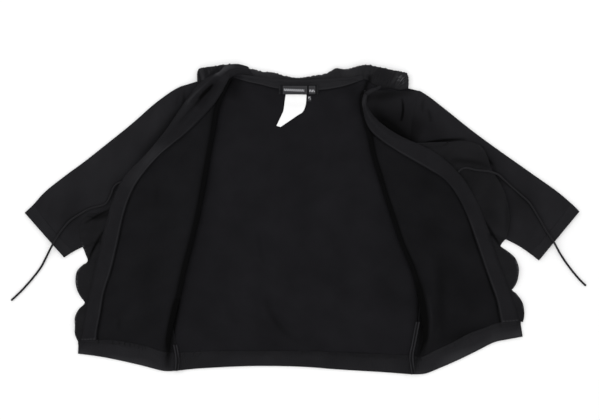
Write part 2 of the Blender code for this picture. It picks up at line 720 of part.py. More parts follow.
care = spread(CARE_LABEL, 7)
label("care_label", between(care[:, :2], care[:, 2:], 5), white_satin, soften=1)
label("size_tab", rectangle(13, 19, 184, 193, 3, 3), grey_woven)
label("label_strip", rectangle(-36, 31, 195, 212, 5, 9), black_woven)
label("woven_label", rectangle(-29, 12, 196.5, 210.5, 3, 5), grey_woven)
label("size_label", rectangle(15, 26, 196.5, 210.5, 3, 3), grey_woven)


# Ties
def tie(name, route, count):
    points = spread(route, count)
    curve = bpy.data.curves.new(name, "CURVE")
    curve.dimensions = "3D"
    curve.bevel_depth = TIE_WIDTH / 2 * METRES
    curve.bevel_resolution = 2
    curve.use_fill_caps = True
    spline = curve.splines.new("POLY")
    spline.points.add(len(points) - 1)
    for point, place in zip(spline.points, points):
        point.co = (*(place * METRES), 1)
    curve.materials.append(black_cord)
    garment.objects.link(bpy.data.objects.new(name, curve))


tie("right_tie", RIGHT_TIE, 36)
tie("left_tie", LEFT_TIE, 38)
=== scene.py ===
"""The looks of a short open cardigan in fine black knit, laid on its back with both fronts turned open.

Every piece of cloth is a fine grid laid on the pile of what lies under it, in the order of the real one.
The neck points to +Y, so the wearer's right is at -X. Plans are in millimetres, meshes in metres.
"""
import math

import bpy
import numpy as np
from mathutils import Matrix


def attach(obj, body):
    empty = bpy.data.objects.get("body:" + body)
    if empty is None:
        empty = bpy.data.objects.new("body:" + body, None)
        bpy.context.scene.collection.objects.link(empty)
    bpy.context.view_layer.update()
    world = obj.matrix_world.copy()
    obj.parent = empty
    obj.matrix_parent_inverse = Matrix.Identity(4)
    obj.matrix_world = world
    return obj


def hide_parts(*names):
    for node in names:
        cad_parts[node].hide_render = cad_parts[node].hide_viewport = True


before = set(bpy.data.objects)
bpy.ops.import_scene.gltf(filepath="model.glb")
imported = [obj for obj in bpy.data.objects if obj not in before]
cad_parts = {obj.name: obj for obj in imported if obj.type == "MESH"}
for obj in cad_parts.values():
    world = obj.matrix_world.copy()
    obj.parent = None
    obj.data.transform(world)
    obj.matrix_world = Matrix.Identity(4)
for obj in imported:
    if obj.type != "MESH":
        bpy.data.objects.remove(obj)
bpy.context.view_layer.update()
scene = bpy.context.scene

# Camera: straight above the middle of the photograph's frame, so far up that the view is nearly flat.
# The frame is FRAME_WIDTH metres wide, which is 600 pixels of 1.7 millimetres.
CAMERA_HEIGHT = 3.0
FRAME_WIDTH = 1.02
SENSOR = 36.0

lens = bpy.data.cameras.new("camera")
lens.sensor_width = SENSOR
lens.lens = SENSOR * CAMERA_HEIGHT / FRAME_WIDTH
camera = bpy.data.objects.new("camera", lens)
camera.location = (0, 0, CAMERA_HEIGHT)
scene.collection.objects.link(camera)
scene.camera = camera

# Room: a plain white table in even light from all round, with a wide soft lamp above it and a smaller
# one to the left, which gives the folds their light side.
SKY_STRENGTH = 0.85
TABLE_HALF = 4.0

scene.view_settings.view_transform = "Standard"
sky = bpy.data.worlds.new("room")
sky.use_nodes = True
background = sky.node_tree.nodes["Background"]
background.inputs["Color"].default_value = (1, 1, 1, 1)
background.inputs["Strength"].default_value = SKY_STRENGTH
scene.world = sky

for name, place, size, power in (
    ("lamp_above", (0.0, 0.3, 2.4), 1.2, 14.0),
    ("lamp_left", (-1.7, 0.9, 1.8), 0.8, 5.0),
):
    light = bpy.data.lights.new(name, "AREA")
    light.shape = "SQUARE"
    light.size = size
    light.energy = power
    lamp = bpy.data.objects.new(name, light)
    lamp.location = place
    lamp.rotation_mode = "QUATERNION"
    lamp.rotation_quaternion = (-lamp.location).to_track_quat("-Z", "Y")
    scene.collection.objects.link(lamp)


class Wire:
    """A socket in a material's node tree; sums on it add Math nodes, and node() adds any other."""

    def __init__(self, tree, socket=None):
        self.tree = tree
        self.socket = socket

    def node(self, kind, settings=None, values=None, out=0):
        made = self.tree.nodes.new(kind)
        for name, value in (settings or {}).items():
            setattr(made, name, value)
        for key, value in (values or {}).items():
            if isinstance(value, Wire):
                self.tree.links.new(value.socket, made.inputs[key])
            else:
                made.inputs[key].default_value = value
        return Wire(self.tree, made.outputs[out])

    def math(self, operation, *values):
        return self.node("ShaderNodeMath", {"operation": operation}, dict(enumerate(values)))

    def __add__(self, other):
        return self.math("ADD", self, other)

    def __sub__(self, other):
        return self.math("SUBTRACT", self, other)

    def __rsub__(self, other):
        return self.math("SUBTRACT", other, self)

    def __mul__(self, other):
        return self.math("MULTIPLY", self, other)

    def __truediv__(self, other):
        return self.math("DIVIDE", self, other)

    def __rtruediv__(self, other):
        return self.math("DIVIDE", other, self)

    def __pow__(self, other):
        return self.math("POWER", self, other)

    def __rpow__(self, other):
        return self.math("POWER", other, self)

    def __lt__(self, other):
        return self.math("LESS_THAN", self, other)

    def __gt__(self, other):
        return self.math("GREATER_THAN", self, other)

    def __abs__(self):
        return self.math("ABSOLUTE", self)

    __radd__, __rmul__ = __add__, __mul__

    def wave(self):
        """0 to 1 and back each time the value grows by 1."""
        return self.math("COSINE", self * math.tau) * 0.5 + 0.5

    def fract(self):
        return self.math("FRACT", self)

    def step(self, low, high):
        """0 below low and 1 above high, smoothly between."""
        ranges = {"Value": self, "From Min": low, "From Max": high}
        return self.node("ShaderNodeMapRange", {"interpolation_type": "SMOOTHSTEP"}, ranges)

    def mix(self, first, second):
        """A colour that goes from first to second as the value goes from 0 to 1."""
        colours = {0: self, 6: first, 7: second}
        return self.node("ShaderNodeMix", {"data_type": "RGBA"}, colours, out=2)


def rgb(red, green, blue):
    return (red, green, blue, 1)


# A millimetre in metres, and how many millimetres of cloth a UV step of 1 is.
METRES = 0.001
CLOTH_UNIT = 1000.0


class Finish:
    """A material under construction: its shader, and where a point is on its cloth, in millimetres."""

    def __init__(self, name, roughness, specular, sheen=0.0):
        self.material = bpy.data.materials.new(name)
        self.material.use_nodes = True
        self.tree = self.material.node_tree
        self.shader = self.tree.nodes["Principled BSDF"]
        self.shader.inputs["Roughness"].default_value = roughness
        self.shader.inputs["Specular IOR Level"].default_value = specular
        self.shader.inputs["Sheen Weight"].default_value = sheen
        self.shader.inputs["Sheen Roughness"].default_value = 0.6
        self.start = Wire(self.tree)
        place = self.start.node("ShaderNodeTexCoord", out=2)
        self.across = place.node("ShaderNodeSeparateXYZ", values={0: place}) * CLOTH_UNIT
        self.along = place.node("ShaderNodeSeparateXYZ", values={0: place}, out=1) * CLOTH_UNIT
        self.place = place.node("ShaderNodeVectorMath", {"operation": "SCALE"}, {0: place, 3: CLOTH_UNIT})

    def noise(self, size, detail=2.0):
        """Even noise from 0 to 1, with features of that size in millimetres."""
        values = {"Vector": self.place, "Scale": 1 / size, "Detail": detail}
        return self.start.node("ShaderNodeTexNoise", values=values)

    def done(self, colour, height, deep):
        """Wire in the colour, and a height from 0 to 1 that is deep millimetres at 1."""
        self.tree.links.new(colour.socket, self.shader.inputs["Base Color"])
        values = {"Strength": 1.0, "Distance": deep * METRES, "Height": height}
        bump = self.start.node("ShaderNodeBump", values=values)
        self.tree.links.new(bump.socket, self.shader.inputs["Normal"])
        return self.material


table_top = Finish("white_table", roughness=0.7, specular=0.2)
table_shade = table_top.noise(size=0.4)
table_paint = table_shade.mix(rgb(0.93, 0.93, 0.93), rgb(0.96, 0.96, 0.96))
corners = [(-TABLE_HALF, -TABLE_HALF, 0), (TABLE_HALF, -TABLE_HALF, 0)]
corners += [(TABLE_HALF, TABLE_HALF, 0), (-TABLE_HALF, TABLE_HALF, 0)]
table_mesh = bpy.data.meshes.new("table")
table_mesh.from_pydata(corners, [], [(0, 1, 2, 3)])
table_mesh.materials.append(table_top.done(table_paint, table_shade, deep=0.01))
table = bpy.data.objects.new("table", table_mesh)
scene.collection.objects.link(table)

# Collar ruffle, the part that is turned under the neck: a strip of the same fine knit, gathered on
# the neck seam and rolled outwards, so that it lies under the back as a second layer.
WALL = 1.4
GAP = 0.3
# The whole width of a ruffle and of its roll, and the columns of its upper leg, its roll and its lower leg.
RUFFLE_WIDTH = 60.0
ROLL_WIDTH = 1.6
RUFFLE_UPPER, RUFFLE_ROLL, RUFFLE_LOWER = 12, 7, 8
# Places on the seam and on the free edge, how high the wave between them is, and how much of the
# width is turned under, from 0 to 1. A stretch rolls from ROLLED_FROM on; where it lies flat, FLAT_LEGS
# says how far out its upper leg ends and its lower leg starts.
RUFFLE_COLUMNS = "sewn_x sewn_y free_x free_y wave under"
ROLLED_FROM = 0.05
FLAT_LEGS = (0.55, 0.75)
COLLAR_RUFFLE = [
    (-171, 206, -173, 210, 1, 0.40),
    (-168, 207, -174, 231, 3, 0.40),
    (-160, 211, -169, 240, 4, 0.40),
    (-146, 218, -152, 242, 4, 0.45),
    (-130, 226, -132, 246, 3, 0.50),
    (-108, 230, -110, 247, 3, 0.55),
    (-88, 227, -90, 241, 1, 0.55),
    (-65, 224, -65, 235, 2, 0.60),
    (-41, 221, -41, 232, 0, 0.60),
    (-17, 219, -17, 225, 1, 0.65),
    (0, 219, 0, 224, 0, 0.65),
    (22, 220, 22, 227, 2, 0.65),
    (44, 221, 44, 231, 0, 0.60),
    (63, 223, 61, 240, 4, 0.55),
    (80, 224, 78, 238, 2, 0.55),
    (97, 224, 97, 243, 4, 0.50),
    (112, 221, 114, 246, 5, 0.50),
    (124, 214, 131, 243, 3, 0.50),
    (138, 208, 149, 239, 4, 0.50),
    (152, 207, 167, 235, 3, 0.45),
    (161, 206, 181, 231, 4, 0.45),
    (166, 205, 184, 217, 3, 0.45),
    (168, 204, 183, 206, 1, 0.45),
]
COLLAR_ROWS = 360
# How far down a wave may sink; how much of the wave the upper leg of a flat stretch takes up, and its lower
# leg at its start; how much of the gathers the lower leg has, and where on the upper leg they fan out.
LIFT_LEAST = -1.8
LOOSE_RISE, LOOSE_START = 0.6, 0.75
GATHERS_BELOW = 0.6
GATHERS_FROM, GATHERS_SPAN = 0.1, 0.85
# The tiny loops of the free edge: how uneven they are, sideways and outwards, and how many rows long.
PICOT_SIZE = 0.9
PICOT_WAY = (0.3, 1)
PICOT_LONG = 2
# How much of a height is evened out at each pass.
SOFTEN = 0.6


def spread(rows, count):
    """Read count rows at equal steps from a smooth curve through the given ones."""
    rows = np.asarray(rows, float)
    last = len(rows) - 1
    at = np.linspace(0, last, count)
    low = np.minimum(at.astype(int), last - 1)
    t = (at - low).reshape((-1,) + (1,) * (rows.ndim - 1))
    before, here = rows[np.maximum(low - 1, 0)], rows[low]
    after, beyond = rows[low + 1], rows[np.minimum(low + 2, last)]
    bend = 2 * before - 5 * here + 4 * after - beyond
    twist = 3 * (here - after) + beyond - before
    return here + 0.5 * t * ((after - before) + t * (bend + t * twist))


def columns(rows, names, count):
    """Spread a table over count rows and give back its columns by name."""
    return dict(zip(names.split(), spread(rows, count).T))


def pair(columns_of, name):
    """The places in a table's two columns of that name."""
    return np.stack([columns_of[name + "_x"], columns_of[name + "_y"]], axis=-1)


def between(start, end, count, power=1.0):
    """A plan of count columns from each start to its end."""
    t = np.linspace(0, 1, count)[None, :, None] ** power
    return start[:, None] * (1 - t) + end[:, None] * t


def sections(grids):
    """Grids side by side as one."""
    return np.concatenate(grids, axis=1)


def travelled(points):
    """How far along a line each of its points is."""
    steps = np.linalg.norm(np.diff(points, axis=0), axis=-1)
    return np.concatenate([[0], np.cumsum(steps)])


def from_ends(count):
    """How many steps each of count places is from the nearer end."""
    return np.minimum(np.arange(count), np.arange(count)[::-1])


def soft(height, passes=1):
    """Even out heights over their neighbours."""
    for _ in range(passes):
        ends = np.pad(height, 1, mode="edge")
        around = (ends[:-2, 1:-1] + ends[2:, 1:-1] + ends[1:-1, :-2] + ends[1:-1, 2:]) / 4
        height = (1 - SOFTEN) * height + SOFTEN * around
    return height


class Pile:
    """How high the cloth laid so far reaches, on squares over the table, in millimetres."""

    SIDE = 1100
    SQUARE = 1.5
    STEP = 0.7 * SQUARE

    def __init__(self):
        squares = round(self.SIDE / self.SQUARE)
        self.height = np.zeros((squares, squares))

    def squares(self, grid):
        at = ((grid[..., :2] + self.SIDE / 2) / self.SQUARE).astype(int)
        return at[..., 1], at[..., 0]

    def lay(self, grid, wall):
        """Add a grid's upper face to the pile."""
        steps = [np.linalg.norm(np.diff(grid[..., :2], axis=axis), axis=-1).max() for axis in (0, 1)]
        for axis, longest in enumerate(steps):
            cuts = math.ceil(longest / self.STEP)
            grid = np.moveaxis(grid, axis, 0)
            at = np.linspace(0, len(grid) - 1, (len(grid) - 1) * cuts + 1)
            low = np.minimum(at.astype(int), len(grid) - 2)
            t = (at - low)[:, None, None]
            grid = np.moveaxis(grid[low] * (1 - t) + grid[low + 1] * t, 0, axis)
        np.maximum.at(self.height, self.squares(grid), grid[..., 2] + wall / 2)

    def least(self, plan, wall):
        """The lowest height of a sheet's middle over each point of a plan, clear of the pile."""
        wide = np.where(self.height > 0, self.height, -GAP)
        for axis in (0, 1):
            wide = np.maximum(wide, np.maximum(np.roll(wide, 1, axis), np.roll(wide, -1, axis)))
        return wide[self.squares(plan)] + GAP + wall / 2

    def rest(self, plan, wall, clear=0.0, floor=0.0, reach=10.0, even=2):
        """Drop a plan onto the pile, bridging its steps over about reach millimetres."""
        least = np.maximum(self.least(plan, wall) + clear, wall / 2 + floor)
        size = [np.linalg.norm(np.diff(plan[..., :2], axis=axis), axis=-1).mean() for axis in (0, 1)]
        height = least
        for _ in range(math.ceil((reach / max(size)) ** 2)):
            height = np.maximum(least, soft(height))
        return np.dstack([plan[..., 0], plan[..., 1], np.maximum(soft(height, even), wall / 2)])


def arc(start, middle, end, turn, steps):
    """Steps of a fold from start to end: an upright half turn about middle, or level where turn is 0."""
    bulge = (start[:, :2] + end[:, :2]) / 2 - middle
    points = []
    for step in range(1, steps + 1):
        share = step / (steps + 1)
        angle = math.pi * (share - 0.5)
        level = start * (1 - share) + end * share
        upright = (start + end) / 2 + (end - start) * math.sin(angle) / 2
        upright = upright - np.pad(bulge, ((0, 0), (0, 1))) * math.cos(angle)
        points.append(level * (1 - turn) + upright * turn)
    return np.stack(points, axis=1)


def ruffle_plan(rows, count):
    """A ruffle's upper and lower leg in plan, with its waves, where it is rolled, and its free edge."""
    column = columns(rows, RUFFLE_COLUMNS, count)
    sewn, free = pair(column, "sewn"), pair(column, "free")
    reach = np.linalg.norm(free - sewn, axis=-1)
    out = (free - sewn) / reach[:, None]
    rolled = np.clip(column["under"] / ROLLED_FROM, 0, 1)[:, None]
    ruffle = {"wave": np.clip(column["wave"], LIFT_LEAST, None), "rolled": rolled, "free": free}
    upper_end, lower_start = (
        rolled * (free - out * ROLL_WIDTH) + (1 - rolled) * (sewn + (free - sewn) * leg) for leg in FLAT_LEGS
    )
    turned = out * (np.clip(column["under"], 0, None) * RUFFLE_WIDTH)[:, None]
    lower_end = rolled * (free - turned) + (1 - rolled) * free
    ruffle["upper"] = between(sewn, upper_end, RUFFLE_UPPER)
    ruffle["lower"] = between(lower_start, lower_end, RUFFLE_LOWER)
    return ruffle


def gathers(ruffle, pitch, high, seed):
    """Small uneven folds that fan out from the gathered seam, as heights over the ruffle's legs."""
    draw = np.random.default_rng(seed)
    along = travelled(ruffle["upper"][:, -1])

    def uneven(least, most, knots):
        return np.interp(along, np.linspace(0, along[-1], knots), draw.uniform(least, most, knots))

    drift = uneven(-0.8, 0.8, knots=40)
    strength = uneven(0.35, 1.0, knots=60)
    folds = (0.5 + 0.5 * np.cos(math.tau * (along / pitch + drift))) * strength * high
    return folds[:, None]


def picot_draw(least, most, rows, seed):
    """An uneven value for each of the tiny loops along a free edge."""
    draw = np.random.default_rng(seed)
    return draw.uniform(least, most, (rows // PICOT_LONG, 1)).repeat(PICOT_LONG, axis=0)


def lay_ruffle_lower(ruffle):
    """Lay the leg that is turned under, or the outer part of a flat stretch."""
    loose = (1 - ruffle["rolled"]) * (ruffle["wave"][:, None] + ruffle["gathers"] * GATHERS_BELOW)
    clear = loose * np.linspace(LOOSE_START, 1, RUFFLE_LOWER)[None]
    ruffle["lower"] = pile.rest(ruffle["lower"], WALL, clear=clear, reach=3)
    pile.lay(ruffle["lower"], WALL)


def lay_ruffle_upper(ruffle):
    """Lay the leg that shows, join it to the lower one with a roll, and give back the whole ruffle."""
    rolled, wave = ruffle["rolled"], ruffle["wave"][:, None]
    along = np.linspace(0, 1, RUFFLE_UPPER)[None]
    over_roll = 2 * ROLL_WIDTH - WALL + wave
    clear = rolled * over_roll * along**2 + (1 - rolled) * wave * LOOSE_RISE * along
    fan = np.sin(math.pi * np.clip(along * GATHERS_SPAN + GATHERS_FROM, 0, 1))
    clear = clear + ruffle["gathers"] * fan
    ruffle["upper"] = pile.rest(ruffle["upper"], WALL, clear=clear, reach=2.5, even=1)
    pile.lay(ruffle["upper"], WALL)
    start, end = ruffle["upper"][:, -1], ruffle["lower"][:, 0]
    roll = arc(start, ruffle["free"], end, rolled, RUFFLE_ROLL)
    whole = sections([ruffle["upper"], roll, ruffle["lower"]])
    whole[..., 2] = np.maximum(whole[..., 2], WALL / 2)
    return whole


pile = Pile()
collar = ruffle_plan(COLLAR_RUFFLE, COLLAR_ROWS)
picots = picot_draw(-PICOT_SIZE, PICOT_SIZE, COLLAR_ROWS, seed=9)
collar["free"] = collar["free"] + picots * PICOT_WAY
collar["gathers"] = gathers(collar, pitch=8.0, high=2.4, seed=3)
lay_ruffle_lower(collar)

# Back: the inside of the back shows between the fronts, the purl side of a fine plain knit. It lies
# flat, with a few soft creases left by folding, and has shade painted under and beside the fronts' folds.
BACK_TOP = [
    (-202, 210), (-160, 219), (-117, 229), (-88, 226), (-41, 220), (0, 218),
    (44, 220), (80, 223), (104, 223), (155, 213), (204, 202),
]
# Places on a front's side seam, its fold, its facing's inner edge and its front edge, from the hem up;
# how far the fold is turned over, from 0 to 1, and how high it stands.
FRONT_COLUMNS = "seam_x seam_y fold_x fold_y tape_x tape_y edge_x edge_y turn height"
RIGHT_FRONT = [
    (-209, -243, -221, -245, -345, -218, -367, -223, 0.0, 0.0),
    (-212, -218, -218, -218, -344, -202, -364, -209, 0.3, 4.0),
    (-218, -184, -212, -184, -338, -173, -358, -177, 0.8, 7.0),
    (-223, -139, -202, -141, -332, -139, -350, -136, 1.0, 8.5),
    (-224, -99, -193, -99, -320, -102, -342, -99, 1.0, 9.0),
    (-228, -51, -181, -53, -309, -56, -332, -56, 1.0, 9.5),
    (-230, -8, -171, -10, -298, -8, -318, -7, 1.0, 10.0),
    (-221, 26, -164, 24, -286, 26, -309, 27, 1.0, 10.0),
    (-211, 60, -158, 58, -269, 56, -292, 58, 1.0, 10.0),
    (-202, 99, -151, 99, -236, 94, -256, 96, 1.0, 10.0),
    (-197, 136, -144, 136, -190, 132, -224, 135, 1.0, 9.5),
    (-196, 167, -139, 167, -160, 162, -197, 175, 1.0, 9.0),
    (-198, 189, -132, 189, -143, 182, -178, 201, 1.0, 8.5),
    (-201, 202, -124, 208, -131, 201, -160, 219, 1.0, 8.0),
    (-202, 210, -116, 223, -120, 218, -138, 231, 1.0, 7.5),
]
LEFT_FRONT = [
    (190, -248, 201, -248, 341, -190, 366, -190, 0.0, 0.0),
    (197, -212, 208, -214, 337, -170, 362, -173, 0.3, 5.0),
    (201, -178, 204, -173, 333, -151, 355, -153, 0.8, 8.0),
    (203, -139, 199, -136, 324, -126, 347, -128, 1.0, 9.0),
    (204, -99, 188, -99, 313, -95, 334, -95, 1.0, 9.5),
    (206, -51, 169, -53, 298, -51, 320, -53, 1.0, 10.0),
    (204, 0, 153, -5, 282, -8, 303, -8, 1.0, 10.5),
    (197, 34, 141, 31, 264, 27, 286, 31, 1.0, 10.5),
    (190, 65, 132, 60, 241, 54, 264, 63, 1.0, 10.5),
    (187, 94, 122, 94, 204, 76, 226, 96, 1.0, 10.0),
    (189, 122, 116, 124, 157, 104, 170, 122, 1.0, 10.0),
    (192, 150, 108, 151, 122, 131, 134, 146, 1.0, 9.0),
    (197, 173, 104, 173, 109, 158, 115, 168, 1.0, 8.0),
    (201, 190, 103, 188, 105, 182, 110, 184, 1.0, 7.0),
    (204, 202, 105, 199, 107, 192, 112, 192, 1.0, 6.0),
]
# Places on the top and the lower edge of a band, a sleeve or a strip.
EDGE_COLUMNS = "top_x top_y low_x low_y"
BACK_BAND = [
    (-209, -244, -209, -273),
    (-150, -241, -170, -269),
    (-75, -241, -85, -265),
    (0, -241, 0, -266),
    (68, -243, 68, -271),
    (136, -246, 136, -275),
    (190, -248, 189, -279),
]
BACK_ROWS, BACK_COLS = 130, 170
# Rows that a table is spread over to read from; waves that cross in waver(), and how their sizes differ.
FINE_ROWS = 200
WAVES = 7
WAVE_SIZES = (0.7, 1.7)
# The shadow painted in and beside a fold: how wide, how dark and how soft it is, how fast it comes where the
# fold turns over, how far past the fold's top it goes and fades, and how its width changes up the body.
FOLD_DARK, FOLD_SHADOW_STRENGTH, FOLD_EDGE = 4.0, 0.6, 1.25
FOLD_SHOWN = 3.5
FOLD_OVER, FOLD_OVER_FADE = 4.0, 6.0
FOLD_WIDE = {
    "right": [
        (-260, 1.0), (-240, 1.5), (-215, 0.9), (-100, 0.95), (60, 0.9), (150, 1.0), (200, 1.2), (223, 2.0),
    ],
    "left": [
        (-250, 0.7), (-220, 1.8), (-190, 2.0), (-150, 1.3), (-60, 0.55), (40, 0.5), (140, 0.7), (207, 0.8),
    ],
}
# Strokes, of height in a table of creases and of painted shade in a table of dark, where one below 0 paints
# a highlight: from x, y to x, y, how wide, how strong, and how far it bows sideways. RIDGE and BLUNT say how
# sharply a stroke fades to its ends.
RIDGE, BLUNT = 1.2, 0.45
BACK_CREASES = [
    (-66, -25, -52, -100, 7, 2.4, 2),
    (-52, -156, 6, -230, 8, 4.0, 6),
    (-158, -125, -120, -195, 9, 2.4, -4),
    (-30, -190, 60, -205, 16, 2.0, 4),
]
# Shade painted where the folds run out towards the hem, on the back, the fronts and the hem bands.
FOLD_FEET = [
    (-208, -150, -226, -270, 6.5, 1.0, 2),
    (204, -160, 193, -272, 6, 0.7, -8),
    (204, -120, 196, -252, 10, 0.3, -5),
]
# Shade painted on the back: broad shade beside the fronts' folds, dark hollows by the neck, and shade along
# two creases.
BACK_DARK = [
    (116, 0, 168, -200, 22, 0.14, 0),
    (-184, -40, -164, -230, 22, 0.12, 0),
    (84, 222, 104, 160, 14, 0.3, 0),
    (-103, 236, -116, 186, 13, 0.5, 0),
    (117, 226, 108, 196, 4.0, 0.8, 0),
    (-60, -150, 2, -226, 5, 0.25, 10),
    (-72, -25, -60, -95, 4, 0.12, 2),
]


def side_seam(rows, count):
    """Points up a front's side seam and armhole, which is where it joins the back."""
    return pair(columns(rows, FRONT_COLUMNS, count), "seam")


def patch(left, right, bottom, top):
    """A grid that fills four edges, from the bottom left."""
    v = np.linspace(0, 1, len(left))[:, None, None]
    u = np.linspace(0, 1, len(top))[None, :, None]
    across = left[:, None] * (1 - u) + right[:, None] * u
    along = bottom[None] * (1 - v) + top[None] * v
    ends = (bottom[0] * (1 - u) + bottom[-1] * u) * (1 - v) + (top[0] * (1 - u) + top[-1] * u) * v
    return across + along - ends


def creases(plan, strokes, ends=RIDGE):
    """The sum of a table's strokes over a plan."""
    x, y = plan[..., 0], plan[..., 1]
    height = np.zeros(x.shape)
    for x0, y0, x1, y1, wide, high, bow in strokes:
        dx, dy = x1 - x0, y1 - y0
        along = np.clip(((x - x0) * dx + (y - y0) * dy) / (dx * dx + dy * dy), 0, 1)
        off = ((x - x0) * dy - (y - y0) * dx) / math.hypot(dx, dy) - bow * 4 * along * (1 - along)
        height += high * np.exp(-((off / wide) ** 2)) * np.abs(np.sin(math.pi * along)) ** ends
    return height


def waver(plan, size, high, seed):
    """The low uneven waves that no cloth lies without, as heights, or as faint darker patches of tone."""
    draw = np.random.default_rng(seed)
    height = np.zeros(plan.shape[:2])
    for _ in range(WAVES):
        angle = draw.uniform(0, math.tau)
        length = size * draw.uniform(*WAVE_SIZES)
        phase = draw.uniform(0, 9)
        across = plan[..., 0] * math.cos(angle) + plan[..., 1] * math.sin(angle)
        height += np.sin(math.tau * across / length + phase)
    return (height / WAVES + 0.5).clip(0) * high


def grid_mesh(name, grid, across, along, ring=False, caps=()):
    """A mesh of a grid of points in millimetres, mapped by how far across and along its cloth each is."""
    rows, cols = grid.shape[:2]
    i, j = np.meshgrid(np.arange(rows - 1), np.arange(cols if ring else cols - 1), indexing="ij")
    corner_i = np.stack([i, i, i + 1, i + 1], -1)
    corner_j = np.stack([j, j + 1, j + 1, j], -1)
    faces = (corner_i * cols + corner_j % cols).reshape(-1, 4).tolist()
    mesh = bpy.data.meshes.new(name)
    mesh.from_pydata((grid.reshape(-1, 3) * METRES).tolist(), [], faces + list(caps))
    mesh.shade_smooth()
    places = np.stack([across[corner_i, corner_j], along[corner_i]], -1) / CLOTH_UNIT
    on_caps = np.zeros(2 * sum(len(cap) for cap in caps))
    mesh.uv_layers.new(name="cloth").data.foreach_set("uv", np.concatenate([places.ravel(), on_caps]))
    return mesh


def set_down(name, node, mesh, finish):
    """Put a mesh in the scene as a piece that stands for a node of the frame."""
    mesh.materials.append(finish)
    piece = bpy.data.objects.new(name, mesh)
    scene.collection.objects.link(piece)
    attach(piece, "root")
    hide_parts(node)
    return piece


def cloth(name, node, grid, wall, finish, ring=False, behind=None, turned=False, painted_shading_and_tone=0.0):
    """Make a grid of points in millimetres into a sheet of cloth.

    ring closes each row of points. behind is the finish of the other face, and turned swaps the faces.
    painted_shading_and_tone is 1 where shade is painted in full, as down in a fold, and below 0 where a
    highlight is painted; faint patches of darker or lighter tone ride on it too.
    """
    closed = np.concatenate([grid, grid[:, :1]], axis=1) if ring else grid
    across = np.linalg.norm(np.diff(closed, axis=1), axis=-1)
    across = np.pad(np.cumsum(across, axis=1), ((0, 0), (1, 0)))
    along = np.linalg.norm(np.diff(grid, axis=0), axis=-1).mean(axis=1)
    along = np.concatenate([[0], np.cumsum(along)])
    mesh = grid_mesh(name, grid, across, along, ring)
    shading_values = np.broadcast_to(painted_shading_and_tone, grid.shape[:2]).astype(np.float32)
    mesh.attributes.new("painted_shading_and_tone", "FLOAT", "POINT").data.foreach_set("value", shading_values.ravel())
    piece = set_down(name, node, mesh, finish)
    thick = piece.modifiers.new("wall", "SOLIDIFY")
    thick.thickness = wall * METRES
    thick.offset = 0
    if behind is not None:
        mesh.materials.append(behind)
        mesh.polygons.foreach_set("material_index", [int(turned)] * len(mesh.polygons))
        thick.material_offset = -1 if turned else 1
    return piece


# The size of a loop of the knit. On the purl side, how far its arch bends and dips, and on the face, how
# far its leg slants and how sharp it is.
STITCH, COURSE = 1.5, 1.15
ARCH_BEND, ARCH_DIP = 0.35, 0.3
LEG_SLANT, LEG_SHARP = 0.6, 0.6
# The relief, how much of it is fuzz, and the size of the fuzz; the least shade that shows, and the range
# above it.
LOOP_RELIEF, FUZZ_RELIEF, FUZZ_SIZE = 0.35, 0.2, 0.9
SHADE_LEAST, SHADE_RANGE = 0.1, 1.2
# The colour that painted shade and darker tone go towards, and the colour that painted highlights and
# lighter tone go towards.
PAINTED_SHADE_AND_DARK_TONE = rgb(0.0007, 0.0007, 0.0008)
PAINTED_HIGHLIGHT_AND_PALE_TONE = rgb(0.16, 0.16, 0.17)


def mix_painted_shading(finish, colour):
    """The colour with the shade, highlights and tone painted on each point mixed in."""
    painted_shading_and_tone = finish.start.node("ShaderNodeAttribute", {"attribute_name": "painted_shading_and_tone"}, out=2)
    lit = (painted_shading_and_tone * -1).mix(colour, PAINTED_HIGHLIGHT_AND_PALE_TONE)
    return painted_shading_and_tone.mix(lit, PAINTED_SHADE_AND_DARK_TONE)


def looped(finish, loops, dark, light, worn_size, shares):
    """Finish loops of yarn: relief, and a colour from dark to light by shares of loops, wear and fuzz."""
    worn = finish.noise(worn_size, detail=3.0)
    fuzz = finish.noise(FUZZ_SIZE)
    shade = loops * shares[0] + worn * shares[1] + fuzz * shares[2]
    shade = (shade - SHADE_LEAST).step(0.0, SHADE_RANGE)
    relief = loops * (1 - FUZZ_RELIEF) + fuzz * FUZZ_RELIEF
    return finish.done(mix_painted_shading(finish, shade.mix(dark, light)), relief, LOOP_RELIEF)


def knit(name, dark, light, purl):
    """A fine plain knit: columns of slanting loops on its face, or rows of small arches on its purl side."""
    finish = Finish(name, roughness=0.85, specular=0.05, sheen=0.006)
    across, along = finish.across / STITCH, finish.along / COURSE
    if purl:
        bend = across.wave() * ARCH_BEND
        loops = (along + bend).wave() * ((across * 2).wave() * ARCH_DIP + (1 - ARCH_DIP))
    else:
        half = abs(across.fract() - 0.5) * 2
        leg = ((across * 2).fract() - 0.5).wave() ** LEG_SHARP
        loops = leg * ((along - half * LEG_SLANT).wave() * 0.5 + 0.5)
    return looped(finish, loops, dark, light, worn_size=38.0, shares=(0.45, 0.7, 0.25))


inside_knit = knit("black_knit_inside", rgb(0.0065, 0.0063, 0.0075), rgb(0.0131, 0.0127, 0.0149), purl=True)
outside_dark = rgb(0.0100, 0.0098, 0.0113)
outside_light = rgb(0.0200, 0.0196, 0.0220)
outside_knit = knit("black_knit_outside", outside_dark, outside_light, purl=False)


def fold_shade(away, y, side):
    """How dark the shade painted at a distance from a front's fold is; it is wider in some places than in
    others.
    """
    places, wide = zip(*FOLD_WIDE[side])
    return FOLD_SHADOW_STRENGTH * np.exp(-((away / (FOLD_DARK * np.interp(y, places, wide))) ** FOLD_EDGE))


